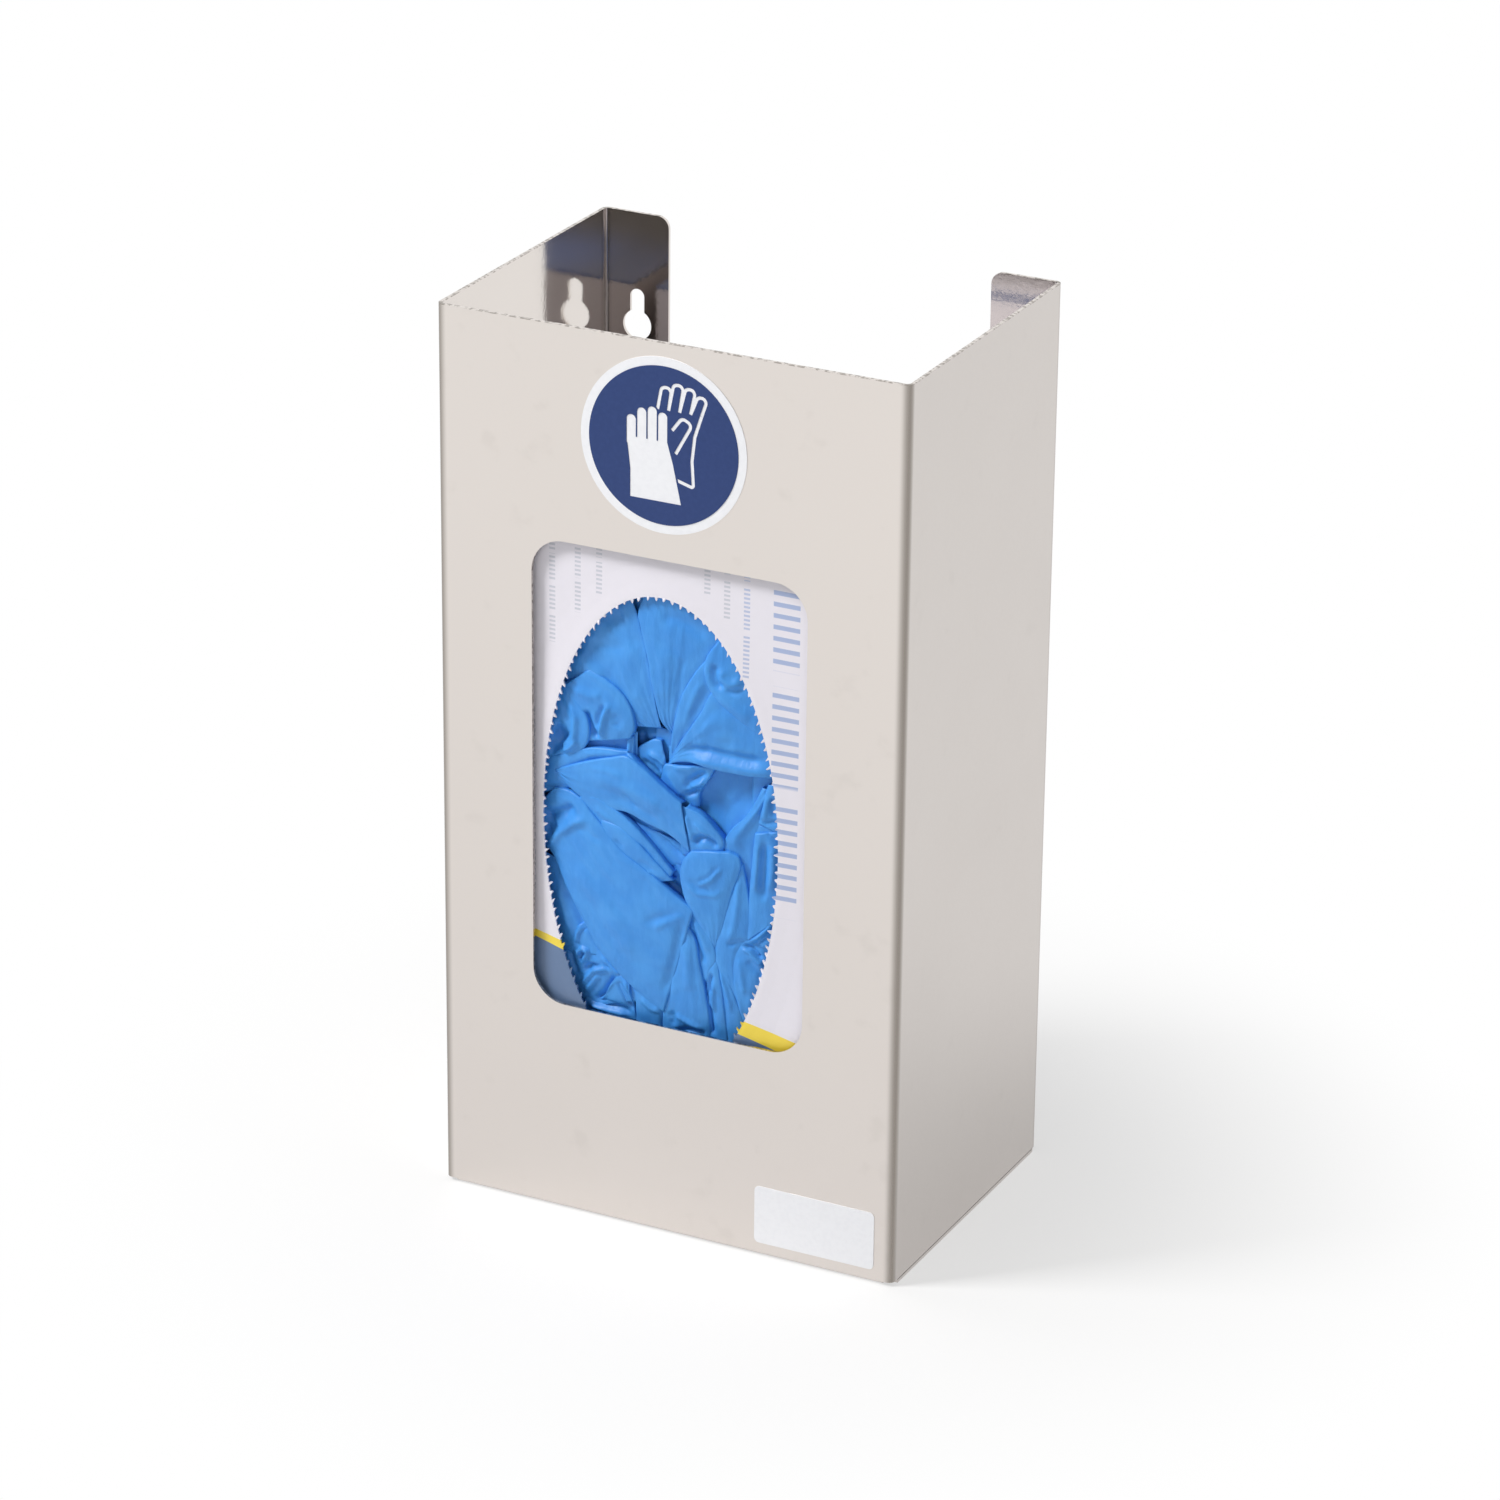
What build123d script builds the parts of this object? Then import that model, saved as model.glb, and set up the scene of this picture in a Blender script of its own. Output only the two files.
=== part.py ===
from build123d import *
import os
from dataclasses import dataclass
from math import cos, pi

# A disposable glove dispenser: a holder folded from one steel sheet, open at the top and back,
# with a card carton of gloves standing in it behind the holder's window.
# X runs across the front, +Y towards the wall and +Z up. The origin is the middle of the
# footprint, on the surface that the base stands on. All sizes are millimetres.

# Steel holder
HOLDER_WIDTH = 142.0
HOLDER_DEPTH = 97.0
HOLDER_HEIGHT = 265.0
SHEET = 1.0
BEND_INNER = 1.0
FLANGE_WIDTH = 21.0
FLANGE_CORNER = 3.5
BASE_SEAM = 0.2
BASE_CORNER = 3.0
RELIEF_WIDTH = 1.5

# Window in the holder's front
WINDOW_WIDTH = 84.0
WINDOW_HEIGHT = 139.0
WINDOW_SILL = 64.0
WINDOW_CORNER = 10.0

# Keyholes in the two rear flanges
KEYHOLE_INSET = 11.0
KEYHOLE_DROP = 33.4
KEYHOLE_ENTRY_DIAMETER = 9.0
KEYHOLE_SLOT_WIDTH = 4.5
KEYHOLE_RISE = 8.5

# Stickers on the holder's front
STICKER = 0.2
PRINT = 0.1
SIGN_DIAMETER = 50.0
SIGN_BORDER = 2.5
SIGN_OFFSET = -1.5
SIGN_DROP = 29.0
LABEL_WIDTH = 37.0
LABEL_HEIGHT = 17.6
LABEL_CORNER = 1.5
LABEL_INSET = 5.9
LABEL_RISE = 4.2

# Picture on the sign: a plain glove, with the outline of its pair behind it
PICTURE_LEFT = -11.1
FINGER_WIDTH = 2.8
FINGER_PITCH = 3.15
FINGER_TOPS = (7.4, 9.8, 10.6, 9.4)
FINGER_ROOT = 1.2
PALM_OUTLINE = ((1.15, 1.2), (2.9, -4.8), (5.4, -16.0), (-10.0, -16.0), (-10.0, -8.0), (-11.1, 1.2))
PAIR_LINE = 1.0
PAIR_GAP = 0.5
PAIR_ROOT = (-1.8, 10.2)
PAIR_ROOT_PITCH = 3.3
PAIR_TIP_PITCH = 3.6
PAIR_TIP_LEAN = 1.2
PAIR_FINGER_WIDTH = 3.0
PAIR_FINGER_BEND = 1.36
PAIR_TOPS = (16.6, 17.8, 17.2, 15.4)
PAIR_SIDE = ((11.4, 10.2), (9.4, 4.0), (8.6, -3.0), (9.1, -10.5), (2.0, -8.5))
PAIR_SIDE_BEND = 0.6
PAIR_THUMB = ((2.6, 4.8), (5.6, 8.8), (8.6, 7.2), (3.7, -1.7))
PAIR_THUMB_BEND = 1.4

# Carton
CARTON_HEIGHT = 234.0
CARTON_FRONT_GAP = 1.5
CARTON_BACK_GAP = 23.5
CARTON_LEFT_GAP = 3.6
CARTON_RIGHT_GAP = 10.4
CARD = 0.5
CARD_FOLD = 0.9
FLAP_SETBACK = 4.0
FLAP_GROOVE = 0.6
FLAP_GROOVE_DEPTH = 0.25

# Oval opening in the carton's face
OPENING_WIDTH = 72.0
OPENING_HEIGHT = 137.0
OPENING_RISE = 121.0
NIB_PITCH = 2.8
NIB_WIDTH = 0.9
NIB_LENGTH = 0.6

# Print on the carton's face
PRINT_MARGIN = 1.0
BAND_LEFT_RISE = 88.5
BAND_RIGHT_RISE = 61.5
BAND_LEFT_HEIGHT = 1.4
BAND_RIGHT_HEIGHT = 6.0
TITLE_WIDTH = 8.0
TITLE_RIGHT_INSET = 24.0
TITLE_TOP_RISE = 200.0
TITLE_LENGTHS = (41.0, 21.0, 25.0)
TITLE_GAP = 5.0
NOTE_WIDTH = 1.6
NOTE_TOP_RISE = 203.0
NOTES = ((29.5, 32.0), (37.5, 22.0), (44.0, 16.0), (77.0, 10.0), (83.0, 16.0), (89.0, 22.0))

# Gloves
GLOVE_CLEARANCE = 0.8
RELIEF_DEPTH = 10.0
LAYER_STEP = 1.2
GLOVE_GAP = 0.3
STEPS_PER_PLEAT = 6
PACK_SIDE_GAP = 4.0
PACK_TOP_GAP = 7.0
PACK_BACK_GAP = 1.0
PACK_CORNER = 8.0
BACK_STAGGER = 0.2

# Places worked out from the sizes above
HALF_WIDTH = HOLDER_WIDTH / 2
HALF_DEPTH = HOLDER_DEPTH / 2
BEND_OUTER = BEND_INNER + SHEET
WALL_BOTTOM = SHEET + BASE_SEAM
CARTON_WIDTH = HOLDER_WIDTH - 2 * SHEET - CARTON_LEFT_GAP - CARTON_RIGHT_GAP
CARTON_DEPTH = HOLDER_DEPTH - 2 * SHEET - CARTON_FRONT_GAP - CARTON_BACK_GAP
CARTON_FRONT = -HALF_DEPTH + SHEET + CARTON_FRONT_GAP
CARTON_BACK = CARTON_FRONT + CARTON_DEPTH
CARTON_X = -HALF_WIDTH + SHEET + CARTON_LEFT_GAP + CARTON_WIDTH / 2
CARTON_BOTTOM = SHEET
OPENING_Z = CARTON_BOTTOM + OPENING_RISE
GLOVE_FRONT = CARTON_FRONT + CARD + GLOVE_CLEARANCE
GLOVE_BACK = GLOVE_FRONT + RELIEF_DEPTH
THROUGH = 2 * max(HOLDER_WIDTH, HOLDER_DEPTH, HOLDER_HEIGHT)


@dataclass
class Fold:
    """One fold of a glove: a pleated sheet drawn through rows that run across it.

    A row is (start, end, sink). Start and end are places over the carton's opening, in percent
    of its half width and half height from its centre. Sink is how far the row lies behind the
    front of the fold's layer. Layer 1 is the nearest to the card.
    """

    name: str
    layer: int
    pleats: float
    swell: float
    rows: tuple


# The gloves that show in the opening, each with its folds
GLOVES = {
    "glove_top": (
        Fold("left fan", layer=3, pleats=1.5, swell=0.7, rows=(
            ((-96, 67), (-24, 104), 0), ((-66, 53), (-18, 79), 1), ((-32, 41), (7, 41), 4))),
        Fold("right fan", layer=4, pleats=1.0, swell=0.8, rows=(
            ((-27, 107), (54, 96), 0), ((-16, 67), (26, 70), 1), ((1, 39), (12, 44), 4))),
        Fold("crossing pleat", layer=4, pleats=1.0, swell=0.6, rows=(
            ((32, 89), (48, 86), 1), ((18, 63), (32, 60), 2), ((1, 41), (9, 31), 5))),
        Fold("side sheet", layer=3, pleats=1.5, swell=0.6, rows=(
            ((32, 79), (93, 53), 0), ((18, 55), (96, 42), 0), ((4, 31), (101, 31), 2))),
        Fold("rim fold", layer=2, pleats=1.0, swell=0.6, rows=(
            ((40, 89), (96, 66), 0), ((34, 73), (96, 48), 0), ((51, 58), (90, 47), 0))),
        Fold("pocket floor", layer=6, pleats=2.0, swell=0.8, rows=(
            ((-35, 44), (9, 44), 0), ((-35, 25), (9, 20), 1))),
    ),
    "glove_left": (
        Fold("upper lobe", layer=2, pleats=1.5, swell=0.8, rows=(
            ((-88, 55), (-57, 63), 0), ((-77, 41), (-29, 48), 0), ((-71, 28), (-29, 29), 1))),
        Fold("rim lobe", layer=3, pleats=1.0, swell=0.9, rows=(
            ((-107, 53), (-82, 55), 0), ((-110, 35), (-66, 39), 0), ((-104, 20), (-71, 28), 1))),
        Fold("strip under lobes", layer=4, pleats=1.0, swell=0.5, rows=(
            ((-113, 23), (-113, 6), 0), ((-68, 28), (-68, 6), 0), ((-27, 31), (-38, 12), 1))),
    ),
    "glove_centre": (
        Fold("band root", layer=1, pleats=0.5, swell=0.9, rows=(
            ((-96, 18), (-96, 15), 0), ((-66, 23), (-68, 4), 0), ((-32, 29), (-38, 3), 0))),
        Fold("band", layer=1, pleats=0.5, swell=1.0, rows=(
            ((-35, 29), (-41, 3), 0), ((-7, 19), (-7, -1), 0), ((29, 7), (18, -4), 0))),
        Fold("band tip", layer=2, pleats=1.0, swell=0.6, rows=(
            ((23, 9), (15, -4), 0), ((48, -1), (29, -7), 1))),
        Fold("back fold", layer=5, pleats=2.0, swell=0.9, rows=(
            ((-4, 32), (43, 34), 0), ((-2, 12), (29, 12), 1))),
        Fold("hollow", layer=5, pleats=1.0, swell=-1.2, rows=(
            ((32, 31), (90, 30), 0), ((26, 15), (76, 18), 1), ((23, 3), (54, 0), 0))),
    ),
    "glove_front": (
        Fold("front panel", layer=2, pleats=1.0, swell=0.5, rows=(
            ((-102, -23), (-68, -1), 1), ((-66, -50), (-13, -20), 0), ((-27, -72), (18, -32), 0),
            ((-2, -85), (23, -36), 1))),
        Fold("pointed strip", layer=1, pleats=1.0, swell=0.4, rows=(
            ((-77, 6), (-71, 3), 0), ((-49, 6), (-57, -9), 0), ((-21, -4), (-24, -19), 0),
            ((7, -18), (1, -23), 0))),
        Fold("strip shade", layer=6, pleats=1.5, swell=0.7, rows=(
            ((-43, 6), (-41, -15), 0), ((23, -1), (18, -35), 1))),
        Fold("left rim sheet", layer=5, pleats=1.0, swell=0.7, rows=(
            ((-113, 9), (-66, 9), 0), ((-113, -20), (-66, -15), 0), ((-104, -61), (-63, -53), 1))),
        Fold("crumple top", layer=4, pleats=1.5, swell=0.9, rows=(
            ((-93, -47), (-57, -51), 0), ((-91, -70), (-41, -72), 0))),
        Fold("crumple", layer=3, pleats=2.5, swell=0.9, rows=(
            ((-85, -64), (-32, -64), 0), ((-77, -91), (-18, -91), 1))),
        Fold("tall pleats", layer=3, pleats=2.5, swell=0.9, rows=(
            ((15, -36), (26, -38), 0), ((1, -64), (34, -64), 0), ((-24, -96), (46, -96), 1))),
    ),
    "glove_right": (
        Fold("thumb tip", layer=1, pleats=0.5, swell=0.9, rows=(
            ((29, -4), (54, -3), 0), ((15, -13), (65, -6), 0), ((18, -23), (62, -18), 0),
            ((40, -47), (46, -47), 0))),
        Fold("finger", layer=2, pleats=1.0, swell=0.7, rows=(
            ((57, -4), (71, -10), 0), ((51, -31), (76, -28), 0), ((40, -51), (71, -47), 1))),
        Fold("side pleat", layer=3, pleats=1.5, swell=0.8, rows=(
            ((21, -32), (62, -45), 1), ((37, -67), (59, -64), 0), ((43, -96), (65, -93), 1))),
        Fold("edge sheet", layer=4, pleats=1.5, swell=0.7, rows=(
            ((46, -1), (97, 33), 0), ((65, -10), (109, 6), 0), ((71, -42), (109, -20), 1))),
        Fold("edge fold", layer=3, pleats=1.0, swell=0.7, rows=(
            ((79, 9), (107, 7), 0), ((76, -15), (109, -15), 0), ((71, -42), (107, -31), 0))),
        Fold("lower fan", layer=3, pleats=2.5, swell=0.8, rows=(
            ((65, -42), (109, -28), 0), ((59, -67), (93, -55), 0), ((57, -96), (76, -93), 1))),
    ),
}


def front_plane(y, x=0.0, z=0.0):
    """An upright plane that faces the viewer at depth y, with its origin at x and z."""
    return Plane(origin=(x, y, z), x_dir=(1, 0, 0), z_dir=(0, -1, 0))


def sheet_section(outer_face, side):
    """The section of bent sheet whose outer face runs along a line, with the metal on one side."""
    return make_face(offset(outer_face, amount=SHEET, side=side))


def keyhole():
    """The outline of one keyhole, with its entry circle at the origin and its slot above."""
    entry = Circle(KEYHOLE_ENTRY_DIAMETER / 2)
    slot = Rectangle(KEYHOLE_SLOT_WIDTH, KEYHOLE_RISE, align=(Align.CENTER, Align.MIN))
    return entry + slot + Pos(0, KEYHOLE_RISE) * Circle(KEYHOLE_SLOT_WIDTH / 2)


def holder_body():
    """The one-piece holder: flanges, sides, front and base, folded from one sheet."""
    outline = FilletPolyline(
        (-HALF_WIDTH + FLANGE_WIDTH, HALF_DEPTH),
        (-HALF_WIDTH, HALF_DEPTH),
        (-HALF_WIDTH, -HALF_DEPTH),
        (HALF_WIDTH, -HALF_DEPTH),
        (HALF_WIDTH, HALF_DEPTH),
        (HALF_WIDTH - FLANGE_WIDTH, HALF_DEPTH),
        radius=BEND_OUTER,
    )
    strip = sheet_section(outline, Side.LEFT)
    walls = Pos(0, 0, WALL_BOTTOM) * extrude(strip, amount=HOLDER_HEIGHT - WALL_BOTTOM)
    flange_ends = [edge for edge in walls.edges().filter_by(Axis.Y)
                   if abs(abs(edge.center().X) - (HALF_WIDTH - FLANGE_WIDTH)) < SHEET / 2]
    walls = fillet(flange_ends, FLANGE_CORNER)

    tongue_half = HALF_WIDTH - BEND_OUTER - RELIEF_WIDTH
    tongue_line = Plane(origin=(-tongue_half, 0, 0), x_dir=(0, 1, 0), z_dir=(1, 0, 0)) * FilletPolyline(
        (-HALF_DEPTH, WALL_BOTTOM + BEND_OUTER),
        (-HALF_DEPTH, 0),
        (HALF_DEPTH, 0),
        radius=BEND_OUTER,
    )
    tongue = extrude(sheet_section(tongue_line, Side.RIGHT), amount=2 * tongue_half, dir=(1, 0, 0))
    plate_front = -HALF_DEPTH + BEND_OUTER + RELIEF_WIDTH
    plate = Pos(0, plate_front, 0) * Box(
        HOLDER_WIDTH, HALF_DEPTH - plate_front, SHEET, align=(Align.CENTER, Align.MIN, Align.MIN))
    plate = fillet(plate.edges().filter_by(Axis.Z).group_by(Axis.Y)[-1], BASE_CORNER)

    body = walls + tongue + plate
    window = front_plane(-HALF_DEPTH, z=WINDOW_SILL + WINDOW_HEIGHT / 2) * RectangleRounded(
        WINDOW_WIDTH, WINDOW_HEIGHT, WINDOW_CORNER)
    body -= extrude(window, amount=SHEET, both=True)
    for side in (-1, 1):
        hole = front_plane(HALF_DEPTH, side * (HALF_WIDTH - KEYHOLE_INSET), HOLDER_HEIGHT - KEYHOLE_DROP)
        body -= extrude(hole * keyhole(), amount=2 * SHEET, both=True)
    return body


def sign_sticker():
    """The round sticker above the window."""
    place = front_plane(-HALF_DEPTH, SIGN_OFFSET, HOLDER_HEIGHT - SIGN_DROP)
    return extrude(place * Circle(SIGN_DIAMETER / 2), amount=STICKER)


def plain_glove():
    """The front glove of the picture: four fingers over a palm that widens to its cuff."""
    picture = Polygon(*PALM_OUTLINE, align=None)
    for number, top in enumerate(FINGER_TOPS):
        x = PICTURE_LEFT + FINGER_WIDTH / 2 + number * FINGER_PITCH
        finger = SlotOverall(top - FINGER_ROOT + FINGER_WIDTH, FINGER_WIDTH, rotation=90)
        picture += Pos(x, (top + FINGER_ROOT - FINGER_WIDTH) / 2) * finger
    return picture


def glove_pair():
    """The glove behind it, as a line round its fingers, side, cuff and thumb."""
    root_x, root_z = PAIR_ROOT
    lines = Sketch()
    for number, top in enumerate(PAIR_TOPS):
        left = root_x + number * PAIR_ROOT_PITCH
        tip = root_x + PAIR_TIP_LEAN + number * PAIR_TIP_PITCH
        finger = FilletPolyline(
            (left, root_z),
            (tip, top),
            (tip + PAIR_FINGER_WIDTH, top),
            (left + PAIR_ROOT_PITCH, root_z),
            radius=PAIR_FINGER_BEND,
        )
        lines += trace(finger, PAIR_LINE)
    lines += trace(FilletPolyline(*PAIR_SIDE, radius=PAIR_SIDE_BEND), PAIR_LINE)
    lines += trace(FilletPolyline(*PAIR_THUMB, radius=PAIR_THUMB_BEND), PAIR_LINE)
    return lines - offset(plain_glove(), amount=PAIR_GAP)


def sign_print():
    """The colour field on the round sticker, with the picture left clear in it."""
    place = front_plane(-HALF_DEPTH - STICKER, SIGN_OFFSET, HOLDER_HEIGHT - SIGN_DROP)
    field = Circle(SIGN_DIAMETER / 2 - SIGN_BORDER) - plain_glove() - glove_pair()
    return extrude(place * field, amount=PRINT)


def label_sticker():
    """The small blank label at the lower right of the front."""
    place = front_plane(
        -HALF_DEPTH, HALF_WIDTH - LABEL_INSET - LABEL_WIDTH / 2, LABEL_RISE + LABEL_HEIGHT / 2)
    return extrude(place * RectangleRounded(LABEL_WIDTH, LABEL_HEIGHT, LABEL_CORNER), amount=STICKER)


def opening_outline(margin=0.0):
    """The oval opening, grown by a margin, on a plane at the carton's face."""
    oval = Ellipse(OPENING_WIDTH / 2 + margin, OPENING_HEIGHT / 2 + margin)
    return front_plane(CARTON_FRONT, CARTON_X, OPENING_Z) * oval


def torn_opening():
    """The opening as it tears out of its perforation: an oval with a nib at each tie."""
    rim = Ellipse(OPENING_WIDTH / 2, OPENING_HEIGHT / 2).wire()
    count = round(rim.length / NIB_PITCH)
    corners = []
    for number in range(count):
        for shift, inset in ((-NIB_WIDTH / 2, 0), (0, NIB_LENGTH), (NIB_WIDTH / 2, 0)):
            share = (number / count + shift / rim.length) % 1
            spot = rim @ share
            corners.append(spot - spot.normalized() * inset)
    return front_plane(CARTON_FRONT, CARTON_X, OPENING_Z) * Polygon(*corners, align=None)


def carton():
    """The glued card carton: four walls with folded edges, and end flaps whose seams show."""
    centre = Pos(CARTON_X, CARTON_FRONT + CARTON_DEPTH / 2, CARTON_BOTTOM)
    base_align = (Align.CENTER, Align.CENTER, Align.MIN)
    shell = Box(CARTON_WIDTH, CARTON_DEPTH, CARTON_HEIGHT, align=base_align)
    shell = fillet(shell.edges().filter_by(Axis.Z), CARD_FOLD)
    shell -= Pos(0, 0, CARD) * Box(
        CARTON_WIDTH - 2 * CARD, CARTON_DEPTH - 2 * CARD, CARTON_HEIGHT - 2 * CARD, align=base_align)
    groove_y = CARTON_DEPTH / 2 - FLAP_SETBACK
    for height in (0, CARTON_HEIGHT):
        shell -= Pos(0, groove_y, height) * Box(CARTON_WIDTH, FLAP_GROOVE, 2 * FLAP_GROOVE_DEPTH)
    return centre * shell - extrude(torn_opening(), amount=2 * CARD, both=True)


def face_print(outline):
    """Print on the carton's face: a thin field that stays clear of the opening."""
    place = front_plane(CARTON_FRONT, CARTON_X, CARTON_BOTTOM)
    return extrude(place * outline, amount=PRINT) - extrude(opening_outline(PRINT_MARGIN), amount=CARD)


def band_outline():
    """The corners of the slanting band, thin on the left and broad on the right."""
    half = CARTON_WIDTH / 2 - CARD_FOLD
    return (
        (-half, BAND_LEFT_RISE),
        (-half, BAND_LEFT_RISE - BAND_LEFT_HEIGHT),
        (half, BAND_RIGHT_RISE - BAND_RIGHT_HEIGHT),
        (half, BAND_RIGHT_RISE),
    )


def carton_yellow_print():
    """The slanting band."""
    return face_print(Polygon(*band_outline(), align=None))


def carton_slate_print():
    """The dark field below the slanting band."""
    low_left, low_right = band_outline()[1:3]
    corners = (low_left, (low_left[0], CARD_FOLD), (low_right[0], CARD_FOLD), low_right)
    return face_print(Polygon(*corners, align=None))


def upright_bar(x, top, width, length):
    """A bar that hangs down from its top edge, on the carton's face."""
    return Pos(x, top) * Rectangle(width, length, align=(Align.CENTER, Align.MAX))


def carton_text_bars():
    """Plain bars where lines of print run up the face: a broad column and narrow ones."""
    bars = Sketch()
    top = TITLE_TOP_RISE
    for length in TITLE_LENGTHS:
        bars += upright_bar(CARTON_WIDTH / 2 - TITLE_RIGHT_INSET, top, TITLE_WIDTH, length)
        top -= length + TITLE_GAP
    for left_inset, length in NOTES:
        bars += upright_bar(-CARTON_WIDTH / 2 + left_inset, NOTE_TOP_RISE, NOTE_WIDTH, length)
    return face_print(bars)


def glove_pack():
    """The folded gloves behind those that show: one soft block that fills the carton."""
    front = GLOVE_BACK + GLOVE_GAP
    width = CARTON_WIDTH - 2 * PACK_SIDE_GAP
    depth = CARTON_BACK - CARD - PACK_BACK_GAP - front
    height = CARTON_HEIGHT - 2 * CARD - PACK_TOP_GAP - GLOVE_GAP
    block = Box(width, depth, height, align=(Align.CENTER, Align.MIN, Align.MIN))
    block = fillet(block.edges().filter_by(Axis.Y), PACK_CORNER)
    return Pos(CARTON_X, front, CARTON_BOTTOM + CARD + GLOVE_GAP) * block


def over_opening(place):
    """X and Z of a place given in percent of the opening's half width and half height."""
    across, up = place
    return CARTON_X + across / 100 * OPENING_WIDTH / 2, OPENING_Z + up / 100 * OPENING_HEIGHT / 2


def row_section(fold, row, back):
    """Corners of a fold's section at one row: pleats in front and a straight back."""
    start, end, sink = row
    (x0, z0), (x1, z1) = over_opening(start), over_opening(end)
    front = GLOVE_FRONT + (fold.layer - 1) * LAYER_STEP + sink
    steps = round(max(1, fold.pleats) * STEPS_PER_PLEAT)
    crest = []
    for step in range(steps + 1):
        share = step / steps
        rise = (1 - cos(2 * pi * fold.pleats * share)) / 2
        depth = front + max(fold.swell, 0) - fold.swell * rise
        crest.append((x0 + (x1 - x0) * share, depth, z0 + (z1 - z0) * share))
    return [*crest, (x1, back, z1), (x0, back, z0)]


def fold_body(fold, back):
    """One fold as a solid: the sections at its rows, joined by flat facets."""
    sections = [row_section(fold, row, back) for row in fold.rows]
    outlines = [sections[0], sections[-1]]
    for near, far in zip(sections, sections[1:]):
        for a, b, c, d in zip(near, near[1:] + near[:1], far[1:] + far[:1], far):
            outlines += [(a, b, c), (a, c, d)]
    return Solid(Shell([Face(Wire.make_polygon(corners)) for corners in outlines]))


def fold_outline(fold):
    """The fold's outline as seen from the front."""
    starts = [over_opening(row[0]) for row in fold.rows]
    ends = [over_opening(row[1]) for row in reversed(fold.rows)]
    return front_plane(GLOVE_FRONT) * Polygon(*starts, *ends, align=None)


def folds_over(name, fold):
    """Outlines of other gloves' folds that lie over a fold: nearer, or first in its layer."""
    order = list(GLOVES)
    return [
        fold_outline(other)
        for other_name in order
        for other in GLOVES[other_name]
        if other_name != name and (other.layer, order.index(other_name)) < (fold.layer, order.index(name))
    ]


def apart(first, second):
    """True when two outlines on the same upright plane are too far apart to meet."""
    a, b = first.bounding_box(), second.bounding_box()
    across = max(a.min.X, b.min.X) - min(a.max.X, b.max.X)
    up = max(a.min.Z, b.min.Z) - min(a.max.Z, b.max.Z)
    return max(across, up) > 2 * GLOVE_GAP


def glove(name):
    """One crumpled glove: its folds as one solid, cut clear of the gloves that lie over it."""
    pieces = []
    for number, fold in enumerate(GLOVES[name]):
        back = GLOVE_BACK + (number + 1) * BACK_STAGGER
        piece = fold_body(fold, back)
        covers = [cover for cover in folds_over(name, fold) if not apart(cover, fold_outline(fold))]
        masks = [extrude(offset(cover, amount=GLOVE_GAP), amount=THROUGH, both=True) for cover in covers]
        pieces.append(piece.cut(*masks) if masks else piece)
    body = pieces[0].fuse(*pieces[1:])
    behind = front_plane(GLOVE_BACK, CARTON_X, OPENING_Z) * Rectangle(THROUGH, THROUGH)
    return body - extrude(behind, amount=-THROUGH)


PARTS = {
    "holder_body": holder_body,
    "sign_sticker": sign_sticker,
    "sign_print": sign_print,
    "label_sticker": label_sticker,
    "carton": carton,
    "carton_yellow_print": carton_yellow_print,
    "carton_slate_print": carton_slate_print,
    "carton_text_bars": carton_text_bars,
    "glove_pack": glove_pack,
}


def main():
    """Build every piece and write one STEP file for each."""
    os.makedirs("parts", exist_ok=True)
    solids = {name: build() for name, build in PARTS.items()}
    for name in GLOVES:
        solids[name] = glove(name)
    for name, solid in solids.items():
        export_step(solid, f"parts/{name}.step")


main()
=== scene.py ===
import logging
import math
import random
from dataclasses import dataclass
from enum import Enum

import bmesh
import bpy
import numpy as np
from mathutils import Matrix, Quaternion, Vector, noise


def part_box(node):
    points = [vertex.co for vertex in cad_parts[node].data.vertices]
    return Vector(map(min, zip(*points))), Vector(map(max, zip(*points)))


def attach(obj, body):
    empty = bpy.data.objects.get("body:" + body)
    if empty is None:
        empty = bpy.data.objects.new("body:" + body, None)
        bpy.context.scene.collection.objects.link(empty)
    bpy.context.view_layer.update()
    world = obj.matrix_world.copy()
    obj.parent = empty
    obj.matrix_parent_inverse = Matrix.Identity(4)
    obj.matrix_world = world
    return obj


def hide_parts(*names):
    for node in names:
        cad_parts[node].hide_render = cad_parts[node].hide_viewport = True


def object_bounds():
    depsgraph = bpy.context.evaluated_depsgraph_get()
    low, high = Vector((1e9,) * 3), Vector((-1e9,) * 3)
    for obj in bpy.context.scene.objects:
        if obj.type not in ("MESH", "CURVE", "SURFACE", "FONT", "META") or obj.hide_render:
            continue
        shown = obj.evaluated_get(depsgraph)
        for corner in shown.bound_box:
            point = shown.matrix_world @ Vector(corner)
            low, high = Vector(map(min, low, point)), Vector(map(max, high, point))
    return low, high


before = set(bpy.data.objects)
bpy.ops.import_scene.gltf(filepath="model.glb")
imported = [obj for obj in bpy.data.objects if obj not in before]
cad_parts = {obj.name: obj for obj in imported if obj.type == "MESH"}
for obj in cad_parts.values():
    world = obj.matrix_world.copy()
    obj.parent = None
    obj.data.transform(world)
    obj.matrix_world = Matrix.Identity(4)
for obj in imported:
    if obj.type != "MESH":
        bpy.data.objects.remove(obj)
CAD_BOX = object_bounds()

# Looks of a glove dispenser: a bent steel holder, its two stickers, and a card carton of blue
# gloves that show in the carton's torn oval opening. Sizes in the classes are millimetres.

MM = 0.001
ROOT = "root"
WHITE = (1.0, 1.0, 1.0)
log = logging.getLogger("dispenser")


def box_in_millimetres(node: str) -> tuple[tuple, tuple]:
    """A CAD node's lowest and highest corner at rest, in millimetres to a tenth."""
    return tuple(tuple(round(part / MM, 1) for part in corner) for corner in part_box(node))


HOLDER_HIGH = box_in_millimetres("holder_body")[1]
CARTON_LOW, CARTON_HIGH = box_in_millimetres("carton")
CARTON_MIDDLE = round((CARTON_LOW[0] + CARTON_HIGH[0]) / 2, 1)
OPENING_MIDDLE = 122.0
GLOVES_FRONT = CARTON_LOW[1] + 1.3


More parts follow.
